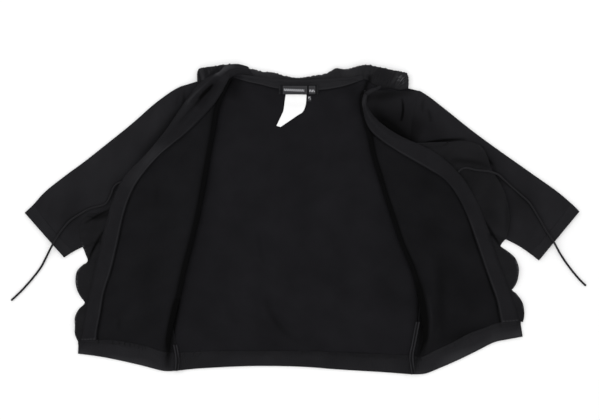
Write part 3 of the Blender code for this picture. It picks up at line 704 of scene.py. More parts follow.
def fold_shadow(plan, rows, side):
    """The shadow painted on the back under a front's fold and beside it."""
    column = columns(rows, FRONT_COLUMNS, FINE_ROWS)
    fold, turn = pair(column, "fold"), np.clip(column["turn"], 0, 1)
    inward = 1 if fold[0, 0] < 0 else -1
    x = np.interp(plan[..., 1], fold[:, 1], fold[:, 0])
    away = np.clip((plan[..., 0] - x) * inward, 0, None)
    top = np.clip((fold[-1, 1] + FOLD_OVER - plan[..., 1]) / FOLD_OVER_FADE, 0, 1)
    shown = np.clip(np.interp(plan[..., 1], fold[:, 1], turn) * FOLD_SHOWN, 0, 1)
    return fold_shade(away, plan[..., 1], side) * shown * top


back_right = side_seam(RIGHT_FRONT, BACK_ROWS)
back_left = side_seam(LEFT_FRONT, BACK_ROWS)
back_hem = pair(columns(BACK_BAND, EDGE_COLUMNS, BACK_COLS), "top")
back_plan = patch(back_right, back_left, back_hem, spread(BACK_TOP, BACK_COLS))
back_relief = creases(back_plan, BACK_CREASES) + waver(back_plan, size=120, high=1.2, seed=5)
back_grid = pile.rest(back_plan, WALL, clear=back_relief)
pile.lay(back_grid, WALL)
# Shadow painted under and beside the fronts' folds, shade painted along the creases and by the neck, and
# faint patches of tone.
back_shading_and_tone = fold_shadow(back_plan, RIGHT_FRONT, "right") + fold_shadow(back_plan, LEFT_FRONT, "left")
back_shading_and_tone += creases(back_plan, BACK_DARK + FOLD_FEET, BLUNT)
back_shading_and_tone += waver(back_plan, size=110, high=0.16, seed=61)
back = cloth(
    "back_cloth", "back_panel", back_grid, WALL, inside_knit, behind=outside_knit, painted_shading_and_tone=back_shading_and_tone
)

# Fronts, the parts that lie on the back: from side seam and armhole in to the fold. The front runs on
# over the fold and outwards again, and is finished further down.
LOWER_LEG, UPPER_LEG = 48, 60
FRONT_ROWS = 150
# Where its turn is under FRONT_FLAT, near the hem, a front laps over its seam by FRONT_LAP. The upper leg
# starts FOLD_REACH out from the fold, or FLAT_FOLD where there is none, with columns that crowd to it.
FRONT_FLAT, FRONT_LAP = 0.5, 1.5
FOLD_REACH, FLAT_FOLD = 6.0, 7.0
UPPER_CROWD = 1.2
# How far the top laps over the neck, and how much of the length bends to the hem.
NECK_LAP, NECK_LAP_ROWS = 9.0, 8
HEM_BEND, HEM_POINTS = 0.3, 60
# The armhole: where up the front it starts and how soon it is open, how much of the leg it lifts, and
# how high, which is the height of a sleeve's edge.
ARMHOLE_FROM, ARMHOLE_SOON, ARMHOLE_REACH = 0.36, 0.1, 0.5
ARM_FOLD = 3.2
RIGHT_BAND = [
    (-209, -244, -209, -273),
    (-233, -242, -233, -273),
    (-269, -231, -269, -264),
    (-314, -223, -313, -254),
    (-345, -222, -345, -248),
    (-376, -223, -377, -244),
]
LEFT_BAND = [
    (190, -248, 189, -279),
    (207, -251, 212, -278),
    (228, -241, 236, -269),
    (260, -226, 268, -255),
    (286, -212, 299, -240),
    (313, -202, 329, -225),
    (338, -193, 351, -220),
    (374, -190, 378, -215),
]


def inset(start, end, by):
    """Move start towards end by a length in millimetres."""
    away = end - start
    return start + away * (by / np.linalg.norm(away, axis=-1, keepdims=True))


def hem_shift(plan, band):
    """Bend a front's lowest rows to the curve of its hem band's top edge."""
    top = pair(columns(band, EDGE_COLUMNS, HEM_POINTS), "top")
    top = top[np.argsort(top[:, 0])]
    shift = np.interp(plan[0, :, 0], top[:, 0], top[:, 1]) - plan[0, :, 1]
    fade = np.clip(1 - np.arange(len(plan)) / (len(plan) * HEM_BEND), 0, 1) ** 2
    plan[..., 1] += fade[:, None] * shift[None]


def front_plan(rows, band):
    """A front in plan: the leg on the back, the fold, the leg turned outwards, and its facing's edge."""
    column = columns(rows, FRONT_COLUMNS, FRONT_ROWS)
    seam, fold, edge = (pair(column, name) for name in ("seam", "fold", "edge"))
    turn = np.clip(column["turn"], 0, 1)[:, None]
    out = (edge - fold) / np.linalg.norm(edge - fold, axis=-1, keepdims=True)
    flat = np.clip(1 - turn / FRONT_FLAT, 0, 1)
    start = inset(seam, edge, -FRONT_LAP) * flat + seam * (1 - flat)
    lower_end = fold + out * FOLD_REACH * turn
    upper_start = fold + out * (FOLD_REACH * turn + FLAT_FOLD * (1 - turn))
    reach = np.linalg.norm(edge - upper_start, axis=-1)
    share = np.linspace(0, 1, UPPER_LEG) ** UPPER_CROWD
    upper = between(upper_start, edge, UPPER_LEG, UPPER_CROWD)
    lower = between(start, lower_end, LOWER_LEG)
    lap = np.linspace(0, NECK_LAP, NECK_LAP_ROWS)[:, None]
    lower[-NECK_LAP_ROWS:, :, 1] += lap * np.linspace(0, 1, LOWER_LEG)[None]
    plan = sections([lower, fold[:, None], upper, pair(column, "tape")[:, None]])
    hem_shift(plan, band)
    return {
        "turn": turn, "flat": flat, "height": np.clip(column["height"], 0, None)[:, None],
        "lower": plan[:, :LOWER_LEG], "fold": plan[:, LOWER_LEG], "upper": plan[:, LOWER_LEG + 1 : -1],
        "tape": plan[:, -1], "away": reach[:, None] * share[None],
    }


def lay_front_lower(front):
    """The leg over the back; its armhole edge is as high as the sleeve's upper wall beside it."""
    rows = np.linspace(0, 1, FRONT_ROWS)[:, None]
    armhole = np.clip((rows - ARMHOLE_FROM) / ARMHOLE_SOON, 0, 1)
    near = np.clip(1 - np.linspace(0, 1, LOWER_LEG)[None] / ARMHOLE_REACH, 0, 1)
    grid = pile.rest(front["lower"], WALL, floor=armhole * near * ARM_FOLD, reach=6)
    grid[..., 2] = grid[..., 2] * (1 - front["flat"]) + WALL / 2 * front["flat"]
    pile.lay(grid, WALL)
    front["lower"] = grid


fronts = {"right": front_plan(RIGHT_FRONT, RIGHT_BAND), "left": front_plan(LEFT_FRONT, LEFT_BAND)}
for front in fronts.values():
    lay_front_lower(front)

# Sleeves and cuffs: flattened tubes of the same knit, set into the armholes, each ending in a ribbed
# cuff. The face side shows.
# How much higher than its edges the middle of a sleeve and of a cuff is. A sleeve laps over the armhole by
# SEAM_LAP, and its last SEAM_ROWS rings stand SEAM_HIGH higher than the rest; a cuff sinks under its sleeve.
ARM_CROWN, CUFF_CROWN = 1.6, 0.64
SEAM_LAP = 1.6
SEAM_HIGH, SEAM_ROWS = 0.15, 3
CUFF_WALL, CUFF_SINK = 1.6, 1.0
# The tables' rows count from the cuff: where the sleeve and the cuff start and end, and from which row
# on the sleeve bends to its armhole. The underarm is at the front table's seventh row.
SLEEVE_FROM, CUFF_TO, BEND_FROM = 0.97, 1.12, 5
BEND = 1.5
UNDERARM = 6 / 14
# Points round each edge and along each wall of a ring, rings in all, the rings over which the relief comes
# in from the cuff and from the body, and how soon it comes in from the edges.
EDGE_STEPS, WALL_STEPS = 9, 72
SLEEVE_RINGS, CUFF_RINGS = 96, 9
CALM_CUFF, CALM_BODY = 8, 26
SWELL = 0.5
# How far apart, how high and how round the ribs are, and the size of a loop of them.
RIB_PITCH, RIB_HIGH, RIB_ROUND = 3.2, 0.45, 0.8
RIB_STITCH, RIB_COURSE = 1.6, 1.3
RIGHT_SLEEVE = [
    (-467, -5, -401, -80),
    (-453, 8, -387, -71),
    (-432, 31, -369, -62),
    (-398, 58, -343, -51),
    (-364, 83, -318, -42),
    (-330, 110, -292, -33),
    (-296, 138, -269, -25),
    (-265, 169, -248, -17),
    (-232, 195, -238, -12),
    (-202, 210, -230, -8),
]
LEFT_SLEEVE = [
    (474, -3, 406, -85),
    (461, 10, 392, -74),
    (435, 32, 371, -60),
    (401, 56, 343, -46),
    (367, 80, 318, -36),
    (333, 104, 291, -26),
    (299, 129, 265, -19),
    (266, 157, 241, -11),
    (234, 184, 221, -5),
    (204, 202, 204, 0),
]
SLEEVE_CREASES = {
    "right": [
        (-245, 185, -230, 140, 5, 1.6, 2),
        (-222, 195, -214, 150, 5, 1.4, -2),
        (-420, 10, -300, 90, 22, 2.2, 6),
        (-390, -30, -330, 10, 14, 1.4, -6),
    ],
    "left": [
        (172, 185, 177, 160, 4, 1.8, 1),
        (214, 190, 226, 155, 6, 1.8, -2),
        (330, 80, 420, 10, 22, 2.2, -6),
        (350, -10, 400, -40, 14, 1.4, 5),
    ],
}
# Shade painted on the sleeves: thin lines along the ruffles' edges, and broad soft shade.
SLEEVE_DARK = {
    "right": [(-432, 0, -310, -50, 28, 0.24, 0)],
    "left": [
        (206, 112, 282, 120, 2.2, 0.95, -2),
        (307, 110, 328, 76, 2.4, 0.8, 3),
        (325, 92, 344, 40, 5.0, 0.3, 4),
        (270, 95, 410, -30, 30, 0.26, -4),
    ],
}
# Shade painted round the shoulders, on sleeves and fronts: beside the front edges, in small creases and under
# the collar.
SHOULDER_DARK = {
    "right": [
        (-140, 226, -232, 112, 7, 0.65, 0),
        (-160, 215, -262, 88, 12, 0.35, 0),
        (-196, 206, -199, 170, 2.5, 0.3, 0),
        (-206, 200, -211, 176, 3, 0.2, 0),
        (-176, 204, -288, 66, 9, 0.25, 0),
    ],
    "left": [
        (173, 190, 171, 150, 1.8, 0.85, -3),
        (210, 190, 208, 166, 3.0, 0.3, 1),
        (217, 172, 222, 148, 3.0, 0.35, -1),
        (116, 178, 226, 98, 12, 0.62, 10),
        (90, 215, 310, 60, 34, 0.3, -4),
        (120, 170, 206, 128, 26, 0.42, 0),
        (92, 188, 196, 204, 10, 0.5, 0),
        (120, 228, 113, 196, 4.0, 0.9, 0),
    ],
}
# The ties, which lie over the sleeves, where their shadow is painted: x, y and height from the casing to
# the free end.
TIES = {
    "right": [
        (-301, 47, 11.5), (-309, 45, 9.6), (-316, 38, 8.7), (-320, 27, 8.6), (-328, 12, 8.6),
        (-338, 7, 8.6), (-357, 2, 8.6), (-375, -8, 8.6), (-391, -19, 8.6), (-406, -37, 8.5),
        (-416, -53, 8.6), (-423, -65, 7.0), (-430, -78, 3.0), (-440, -97, 2.1), (-456, -118, 2.1),
        (-474, -138, 2.1), (-491, -154, 2.1),
    ],
    "left": [
        (268, 64, 14.0), (275, 70, 12.6), (284, 71, 12.4), (296, 68, 12.2), (309, 66.5, 12.6),
        (321, 65, 13.2), (335, 60, 13.6), (346, 51, 10.5), (357, 41, 8.6), (374, 26, 8.5),
        (389, 12, 8.5), (403, -10, 8.5), (418, -36, 8.5), (429, -52, 8.3), (436, -64, 5.5),
        (443, -76, 3.0), (456, -95, 2.1), (473, -116, 2.1), (486, -129, 2.1),
    ],
}
# How wide and how dark that painted shadow is, and at how many points the route is read for it.
TIE_SHADE, TIE_DARK = 3.4, 0.5
ROUTE_POINTS = 160


def beside(plan, route, wide):
    """1 on a route of points, less beside it."""
    line = spread([point[:2] for point in route], ROUTE_POINTS)
    away = np.full(plan.shape[:2], np.inf)
    for point in line:
        away = np.minimum(away, ((plan[..., :2] - point) ** 2).sum(axis=-1))
    return np.exp(-away / wide**2)


def rib(across):
    """The rounded profile of ribs, from 0 to 1, at distances across them."""
    return np.abs(np.cos(math.pi * across / RIB_PITCH)) ** RIB_ROUND


def sleeve_ring(top, low, crown, wall, armhole, ribs):
    """One ring: round the top edge, along the upper wall, round the low edge, back along the table."""
    radius = ARM_FOLD / 2
    length = np.linalg.norm(low - top)
    turn = np.linspace(0, math.pi, EDGE_STEPS)
    flat = np.arange(1, WALL_STEPS) / WALL_STEPS
    across = np.concatenate([
        radius - radius * np.sin(turn),
        radius + (length - ARM_FOLD) * flat,
        length - radius + radius * np.sin(turn),
        length - radius - (length - ARM_FOLD) * flat,
    ])
    height = np.concatenate([
        radius - radius * np.cos(turn),
        ARM_FOLD + crown * np.sin(math.pi * flat),
        radius + radius * np.cos(turn),
        0 * flat,
    ])
    height += ribs * rib(across) * np.clip(height / ARM_FOLD, 0, 1)
    place = armhole(across / length)
    return np.column_stack([place, wall / 2 + height])


def read_line(at, knots, line):
    """The points of a line at places among its knots."""
    return np.stack([np.interp(at, knots, line[:, k]) for k in (0, 1)], axis=-1)


def sleeve_grid(rows, armhole, start, end, rings, wall, crown, ribs):
    """Rings of a flattened tube from one row of its table to another, bending to the armhole."""
    column = columns(rows, EDGE_COLUMNS, FINE_ROWS)
    knots = np.linspace(0, len(rows) - 1, FINE_ROWS)
    grid = []
    for at in np.linspace(start, end, rings):
        top, low = (read_line(at, knots, pair(column, edge)) for edge in ("top", "low"))
        blend = np.clip((at - BEND_FROM) / (len(rows) - 1 - BEND_FROM), 0, 1) ** BEND

        def shaped(share, top=top, low=low, blend=blend):
            straight = top + (low - top) * share[:, None]
            return straight * (1 - blend) + armhole(share) * blend

        grid.append(sleeve_ring(top, low, crown * (1 - blend), wall, shaped, ribs))
    return np.array(grid)


def armhole_curve(rows):
    """The armhole from the shoulder, where share is 0, down to the underarm, a lap inside the seam."""
    seam = side_seam(rows, FRONT_ROWS)
    outward = 1 if seam[0, 0] > 0 else -1
    last = FRONT_ROWS - 1

    def place(share):
        row = last * (1 - share) + last * UNDERARM * share
        return read_line(row, np.arange(FRONT_ROWS), seam) - (outward * SEAM_LAP, 0)

    return place


def ribbed(name, dark, light):
    """A fine rib: columns of loops; the mesh itself carries the ridges."""
    finish = Finish(name, roughness=0.8, specular=0.05, sheen=0.006)
    half = abs((finish.across / RIB_STITCH).fract() - 0.5) * 2
    loops = (finish.along / RIB_COURSE - half * LEG_SLANT).wave()
    return looped(finish, loops, dark, light, worn_size=30.0, shares=(0.4, 0.6, 0.3))


black_rib = ribbed("black_rib", rgb(0.0103, 0.0101, 0.0116), rgb(0.0212, 0.0209, 0.0232))

for side, rows, front_rows in (("right", RIGHT_SLEEVE, RIGHT_FRONT), ("left", LEFT_SLEEVE, LEFT_FRONT)):
    armhole = armhole_curve(front_rows)
    sleeve = sleeve_grid(rows, armhole, SLEEVE_FROM, len(rows) - 1, SLEEVE_RINGS, WALL, ARM_CROWN, 0.0)
    cuff = sleeve_grid(rows, armhole, 0, CUFF_TO, CUFF_RINGS, CUFF_WALL, CUFF_CROWN, RIB_HIGH)
    upper = slice(EDGE_STEPS - 1, EDGE_STEPS + WALL_STEPS)
    swell = np.sin(np.linspace(0, math.pi, WALL_STEPS + 1))[None] ** SWELL
    relief = creases(sleeve[:, upper], SLEEVE_CREASES[side])
    relief += waver(sleeve[:, upper], size=90, high=2.2, seed=11)
    rings = np.arange(SLEEVE_RINGS)
    calm = np.clip(np.minimum(rings / CALM_CUFF, rings[::-1] / CALM_BODY), 0, 1)[:, None]
    sleeve[:, upper, 2] += relief * swell * calm
    sleeve[-SEAM_ROWS:, upper, 2] += SEAM_HIGH
    pile.lay(sleeve[:, upper], WALL)
    cuff[-1, upper, 2] -= CUFF_SINK
    pile.lay(cuff[:, upper], CUFF_WALL)
    # Shade painted on the sleeve: in hollows and round the shoulder, a shadow beside the tie, and faint
    # patches of tone.
    sleeve_shading_and_tone = creases(sleeve, SLEEVE_DARK[side] + SHOULDER_DARK[side], BLUNT)
    sleeve_shading_and_tone += TIE_DARK * beside(sleeve, TIES[side], TIE_SHADE)
    sleeve_shading_and_tone += waver(sleeve, size=70, high=0.14, seed=63)
    arm = cloth(
        f"{side}_sleeve_cloth", f"{side}_sleeve", sleeve, WALL, outside_knit, ring=True,
        painted_shading_and_tone=sleeve_shading_and_tone,
    )
    band = cloth(f"{side}_cuff_rib", f"{side}_cuff_band", cuff, CUFF_WALL, black_rib, ring=True)

# Collar ruffle, the part that shows: it stands round the neck behind the seam, in small gathers, and
# ends in a row of tiny loops.
# The shade of collar and neck facing, which are a little lighter than the rest.
COLLAR_TONE = -0.035
# How dark the shade painted in the valleys between the gathers is, and how high a gather is where none is
# left.
COLLAR_VALLEYS, VALLEY_HIGH = 0.10, 2.0
# How light the highlights painted on the tiny loops are, and how few of them are as light as that; how far
# round the roll they sit and how wide, and how wide on a flat edge; and the draws that the painted glints
# come from, of which those below 0 are none.
COLLAR_PICOT_HIGHLIGHT = 0.22
PICOT_FEW = 1.5
PICOT_AT, PICOT_WIDE, PICOT_EDGE = 0.4, 0.5, 1.2
SPECKS = (-1.6, 0.8)
# The shade painted in the valleys comes in from END_FROM millimetres off the middle over END_SOON, and is
# less at the left.
END_FROM, END_SOON, LEFT_END = 90, 50, 0.35
COLLAR_GLINTS = [(172, 221, 8)]
# Shade painted in hollows under and beside the collar's ends, and highlights painted along its top.
COLLAR_STROKES = [
    (119, 230, 116, 204, 3.5, 0.9, 0),
    (124, 216, 160, 206, 5, 0.4, 2),
    (128, 236, 150, 214, 12, 0.2, 0),
    (-146, 244, -168, 212, 20, -0.065, 0),
    (-158, 242, -158, 214, 2.6, 0.14, 0),
    (-160, 220, -140, 240, 2.4, 0.4, 0),
    (70, 232, 100, 234, 8, -0.02, 0),
    (-112, 243, -36, 226, 8, -0.03, 0),
    (160, 233, 176, 208, 9, -0.02, 0),
]
ruffle_knit = knit("black_knit_ruffle", rgb(0.0080, 0.0079, 0.0088), rgb(0.0165, 0.0162, 0.0180), purl=False)


def glints_at(grid, places, seed):
    """Glints painted as light dots, below 0, around places where the tiny loops show: x, y, reach."""
    draw = np.random.default_rng(seed)
    near = np.zeros(grid.shape[:2])
    for x, y, reach in places:
        near += np.exp(-(((grid[..., 0] - x) ** 2 + (grid[..., 1] - y) ** 2) / reach**2) ** 2)
    return -near * np.clip(draw.uniform(*SPECKS, grid.shape[:2]), 0, 1)


def picot_highlights(rolled, seed):
    """Highlights painted along a ruffle's free edge, 0 to 1: on its roll, or at its last columns."""
    draw = picot_draw(0, 1, len(rolled), seed) ** PICOT_FEW
    column = np.arange(RUFFLE_UPPER + RUFFLE_ROLL + RUFFLE_LOWER)[None]
    round_roll = column - RUFFLE_UPPER - RUFFLE_ROLL * PICOT_AT
    on_roll = np.exp(-((round_roll / (RUFFLE_ROLL * PICOT_WIDE)) ** 2))
    at_end = np.exp(-(((column[:, ::-1] - 1) / PICOT_EDGE) ** 2))
    return draw * (on_roll * rolled + at_end * (1 - rolled))


collar_grid = lay_ruffle_upper(collar)
at_ends = np.clip((np.abs(collar_grid[:, :1, 0]) - END_FROM) / END_SOON, 0, 1)
at_ends[collar_grid[:, :1, 0] > 0] *= LEFT_END
# Shade painted in the valleys between the gathers, a lighter tone, glints, and highlights painted on the tiny
# loops.
valleys = COLLAR_VALLEYS * (1 - np.clip(collar["gathers"] / VALLEY_HIGH, 0, 1)) * at_ends
collar_shading_and_tone = valleys + COLLAR_TONE + glints_at(collar_grid, COLLAR_GLINTS, seed=51)
collar_shading_and_tone = collar_shading_and_tone + creases(collar_grid, COLLAR_STROKES, BLUNT)
collar_shading_and_tone -= COLLAR_PICOT_HIGHLIGHT * picot_highlights(collar["rolled"], seed=55)
collar_frill = cloth(
    "collar_frill", "collar_ruffle", collar_grid, WALL, ruffle_knit, painted_shading_and_tone=collar_shading_and_tone
)

# Back neck facing: a narrow strip of the knit that covers the neck seam inside. It is sewn down along
# its lower edge, which stands up a little, and flattens to its ends.
NECK_FACING = [
    (-117, 229, -113, 225),
    (-103, 228, -101, 221),
    (-88, 225, -88, 217),
    (-65, 222, -65, 212),
    (-41, 219, -41, 206),
    (0, 218, 0, 203),
    (37, 219, 37, 203),
    (68, 221, 68, 208),
    (88, 222, 88, 214),
    (106, 226, 107, 221),
]
# It reaches NECK_OVER past the seam, and its ends sink by NECK_SINK over NECK_ENDS rows.
NECK_ROWS, NECK_ENDS = 90, 9
NECK_OVER, NECK_SINK = 3.5, 1.8
# Across the strip, from its upper edge: how high it stands, and the highlight and shade painted along its
# raised lower edge; and the shadow painted over its left end.
NECK_ROLL = (-1.5, -1.2, -0.9, -0.6, -0.3, -0.1, 0.0, 0.1, 0.3, 0.9, 1.5, 0.9)
NECK_EDGE_SHADING = (0.0,) * 10 + (-0.05, 0.5)
NECK_STROKES = [(-121, 250, -119, 190, 12, 0.6, 0)]

neck = columns(NECK_FACING, EDGE_COLUMNS, NECK_ROWS)
neck_plan = between(pair(neck, "top") + (0, NECK_OVER), pair(neck, "low"), len(NECK_ROLL))
neck_end = np.clip(from_ends(NECK_ROWS) / NECK_ENDS, 0, 1)[:, None]
neck_roll = np.array(NECK_ROLL)[None] * neck_end - NECK_SINK * (1 - neck_end)
# Highlight and shade painted along the raised lower edge, the lighter tone, and the shadow painted over the
# left end.
neck_shading_and_tone = np.array(NECK_EDGE_SHADING)[None] * neck_end + COLLAR_TONE + creases(neck_plan, NECK_STROKES, BLUNT)
neck_grid = pile.rest(neck_plan, WALL, clear=neck_roll, reach=3, even=0)
pile.lay(neck_grid, WALL)
facing_knit = knit("black_knit_facing", rgb(0.0075, 0.0073, 0.0085), rgb(0.0150, 0.0147, 0.0166), purl=False)
neck_tape = cloth(
    "neck_facing_cloth", "back_neck_facing", neck_grid, WALL, facing_knit, painted_shading_and_tone=neck_shading_and_tone
)

# Front ruffles: gathered strips of the knit, sewn under the front edges. Two scallops lie clear of each
# sleeve and the rest on it; their free edges end in a row of tiny loops.
RIGHT_RUFFLE = [
    (-358, -219, -376, -226, 0.5, 0.0),
    (-357, -206, -382, -211, 3, 0.0),
    (-355, -196, -382, -197, 4.5, 0.0),
    (-351, -182, -382, -182, 4.5, 0.0),
    (-347, -170, -376, -169, 2, 0.0),
    (-344, -158, -366, -158, 0, 0.0),
    (-342, -148, -372, -148, 2, 0.0),
    (-340, -136, -378, -136, 4.5, 0.0),
    (-337, -122, -381, -121, 5, 0.0),
    (-335, -107, -379, -105, 3.5, 0.0),
    (-332, -95, -371, -95, 1.5, 0.0),
    (-330, -83, -361, -87, 0, 0.0),
    (-327, -71, -365, -73, 0.5, 0.0),
    (-324, -56, -371, -58, -2.3, 0.0),
    (-320, -42, -374, -42, -2.3, 0.0),
    (-316, -29, -374, -29, -2.3, 0.0),
    (-312, -17, -369, -17, -2.3, 0.0),
    (-309, -8, -360, -10, -2.0, 0.04),
    (-306, 2, -336, -4, 0.0, 0.25),
    (-301, 14, -315, 14, 1, 0.5),
    (-294, 32, -304, 35, 0, 0.7),
    (-274, 62, -286, 66, 0, 0.75),
    (-237, 98, -249, 104, 0, 0.75),
    (-204, 137, -214, 144, 0, 0.65),
    (-178, 172, -188, 179, 0, 0.5),
    (-162, 193, -170, 199, 0, 0.3),
]
LEFT_RUFFLE = [
    (357, -189, 379, -190, 1, 0.0),
    (353, -177, 381, -177, 2, 0.0),
    (350, -164, 378, -158, 3.5, 0.0),
    (346, -152, 369, -144, 2, 0.0),
    (342, -140.5, 361.8, -137.5, 0.3, 0.0),
    (341, -138, 360, -135, 0, 0.0),
    (340.3, -135, 362, -133, 0.3, 0.0),
    (337, -124, 368, -123, 3, 0.0),
    (333, -112, 371, -109, 4.5, 0.0),
    (330, -103, 371, -96, 4.5, 0.0),
    (325, -90, 365, -81, 2, 0.0),
    (321, -78, 354, -71, 1, 0.0),
    (317, -65, 344.5, -64.5, 0.3, 0.0),
    (316, -61.5, 341, -61.5, 0, 0.0),
    (315, -58, 342.5, -57, 0.5, 0.0),
    (310, -43, 350, -46, 3, 0.0),
    (305, -28, 355, -24, 4.5, 0.0),
    (299, -12, 354, 0, 5, 0.0),
    (292, 5, 347, 29, 4.5, 0.0),
    (282, 24, 335, 53, 2, 0.0),
    (272, 41, 324, 71, 0, 0.0),
    (258, 57, 318, 90, 3, 0.0),
    (241, 73, 306, 109, 4.5, 0.0),
    (223, 85, 279, 117, 3.5, 0.0),
    (205, 95, 250, 115, 2, 0.04),
    (190, 104, 224, 114, 1.5, 0.3),
    (178, 107, 196, 113, 1, 0.5),
    (165, 110, 173, 114, 0, 0.6),
    (148, 118, 152, 121, 0, 0.35),
]
RUFFLE_ROWS = 440
# Shade painted in the ruffles' creases and under their folds, with one highlight painted on the left one.
RUFFLE_DARK = {
    "right": [
        (-328, -30, -361, -90, 2.2, 1.0, 3),
        (-318, 2, -366, -24, 1.8, 0.7, 2),
        (-322, -6, -352, -17, 4.0, 0.45, 0),
        (-348, -96, -352, -140, 5.0, 0.15, 0),
        (-306, 14, -374, -56, 20.0, 0.22, 0),
    ],
    "left": [
        (312, -16, 343, -64, 2.2, 1.0, 1),
        (254, 84, 322, 74, 5.0, 0.45, -3),
        (349, 24, 353, -44, 4.0, 0.35, 0),
        (262, 60, 300, 20, 10.0, 0.2, 0),
        (304, 24, 332, -30, 14.0, 0.25, 0),
        (236, 98, 344, 4, 22.0, 0.22, 0),
        (298, 114, 310, 102, 2.0, -0.06, 0),
    ],
}
# Where glints are painted on the tiny loops as light dots, and how light those are.
RUFFLE_GLINTS = {"right": [(-363, -41, 6)], "left": [(371, -183, 5), (352, -109, 6)]}
GLINT_LIGHT = 0.25
# The highlights painted on the tiny loops are strong below the sleeves and faint over them.
PICOTS_BELOW, PICOTS_SOON = -48, 8
PICOT_LIGHT = (0.06, 0.5)

for side, rows, seed in (("right", RIGHT_RUFFLE, 21), ("left", LEFT_RUFFLE, 22)):
    ruffle = ruffle_plan(rows, RUFFLE_ROWS)
    ruffle["gathers"] = gathers(ruffle, pitch=12.0, high=1.0, seed=seed)
    lay_ruffle_lower(ruffle)
    frill_grid = lay_ruffle_upper(ruffle)
    # Shade painted in the creases, faint patches of tone, and glints and highlights painted on the tiny
    # loops.
    frill_shading_and_tone = creases(frill_grid, RUFFLE_DARK[side], BLUNT)
    frill_shading_and_tone += waver(frill_grid, size=45, high=0.14, seed=65)
    off_sleeve = np.clip((PICOTS_BELOW - frill_grid[..., 1]) / PICOTS_SOON, 0, 1)
    light = PICOT_LIGHT[0] + (PICOT_LIGHT[1] - PICOT_LIGHT[0]) * off_sleeve
    glints = glints_at(frill_grid, RUFFLE_GLINTS[side], seed=53) * GLINT_LIGHT
    frill_shading_and_tone += glints - light * picot_highlights(ruffle["rolled"], seed=57)
    frill = cloth(
        f"{side}_front_frill", f"{side}_front_ruffle", frill_grid, WALL, ruffle_knit,
        painted_shading_and_tone=frill_shading_and_tone,
    )

# Fronts, the parts turned outwards over sleeves and ruffles, each with the facing along its edge that
# makes a casing for the tie. The purl side shows.
FRONT_CREASES = {
    "right": [
        (-250, 30, -256, -190, 14, 2.6, 6),
        (-303, -178, -309, -208, 4, 1.6, 1),
        (-290, -182, -296, -206, 4, 1.2, -1),
        (-225, -60, -240, -170, 10, 1.6, -4),
    ],
    "left": [
        (222, 20, 226, -130, 9, 2.6, -6),
        (262, -30, 262, -190, 12, 2.0, 4),
        (206, -130, 212, -238, 6, 5.0, -13),
        (136, 210, 105, 186, 5, 3.0, -4),
    ],
}
# Shade painted on the turned-out fronts, and a highlight painted along the ridge low on the left one.
FRONT_DARK = {
    "right": [
        (-262, -30, -262, -215, 12, 0.1, 0),
        (-306, -182, -309, -208, 3, 0.3, 0),
        (-240, 45, -245, 5, 6, 0.2, 0),
    ],
    "left": [
        (237, -60, 241, -240, 10, 0.35, 0),
        (210, -128, 213, -244, 3.4, -0.44, -11),
        (222, -226, 330, -186, 8, 0.3, 6),
        (200, 60, 240, 20, 14, 0.15, 0),
    ],
}
# The shade of each front, and how dark the patches on it are.
FRONT_TONE = {"right": 0.0, "left": 0.12}
FRONT_PATCHES = {"right": 0.13, "left": 0.22}
# The fold: its steps round, how far out its rise fades, how far out the relief is whole, and how much
# darker than the back beside it the shade painted on it is.
FOLD_STEPS = 14
FOLD_FADE = 20.0
RELIEF_WHOLE = 12
ROLL_SHADE_STRENGTH = 1.5
# The facing laps over the front edge by FACING_LAP, and by FACING_SLOPE more from the breast down, which
# comes in over FACING_SLOPE_LONG. It follows every FACING_EACH-th row of the front but the last FACING_CUT,
# and then FACING_TOP: the right one goes on round the neck, and the left one is turned under.
FACING_ROWS, FACING_COLS = 200, 24
FACING_LAP, FACING_SLOPE, FACING_SLOPE_LONG = 3.0, 3.5, 60
FACING_CUT, FACING_EACH = 6, 4
FACING_TOP = {
    "right": [
        (-120, 220, -137, 234), (-112, 228, -129, 243), (-101, 231, -117, 247), (-90, 230, -103, 247),
        (-79, 228, -88, 243),
    ],
    "left": [
        (108, 196, 114, 193), (112, 201, 118, 196), (120, 206, 124, 200), (130, 209, 132, 204),
        (137, 211.5, 138, 208.5),
    ],
}
# The shade painted on the front along its inner edge: how wide, and how dark.
FACING_SHADE, FACING_DARK = 1.8, 0.7
# Across it, from its inner edge: how high it stands and the shade and highlight painted on it, first low
# down, and then round the shoulder, which comes in over FACING_TURN. Over its last FACING_END rows it
# sinks by FACING_SINK.
FACING_TURN = (120, 175)
FACING_END, FACING_SINK = 45, 1.7
FACING_PROFILE = (
    0.6, 1.2, 1.5, 1.1, 0.6, 0.4, 0.2, 0.1, 0.1, 0.1, 0.1, 0.1,
    0.1, 0.1, 0.1, 0.1, 0.1, 0.1, 0.1, 0.1, 0.0, -0.4, -0.8, -1.1,
)
FACING_EDGE_SHADING = (0.8, 0.25, -0.055, -0.02) + (0.0,) * 20
FACING_TOP_PROFILE = {
    "right": (
        0.0, 0.2, 0.3, 0.3, 0.3, 0.3, 0.3, 0.3, 0.3, 0.3, 0.3, 0.2,
        0.1, 0.3, 1.0, 2.0, 3.0, 3.8, 4.2, 4.2, 3.6, 2.4, 1.0, -0.4,
    ),
    "left": tuple(3.2 * math.sin(math.pi * k / (FACING_COLS - 1)) - 0.6 for k in range(FACING_COLS)),
}
FACING_TOP_SHADING = {
    "right": (0.5, 0.2, 0.0) + (0.0,) * 9 + (0.15, 0.15) + (0.0,) * 10,
    "left": (0.4, 0.1) + (0.0,) * 9 + (-0.01, -0.02, -0.03, -0.03, -0.02, -0.01) + (0.0,) * 7,
}
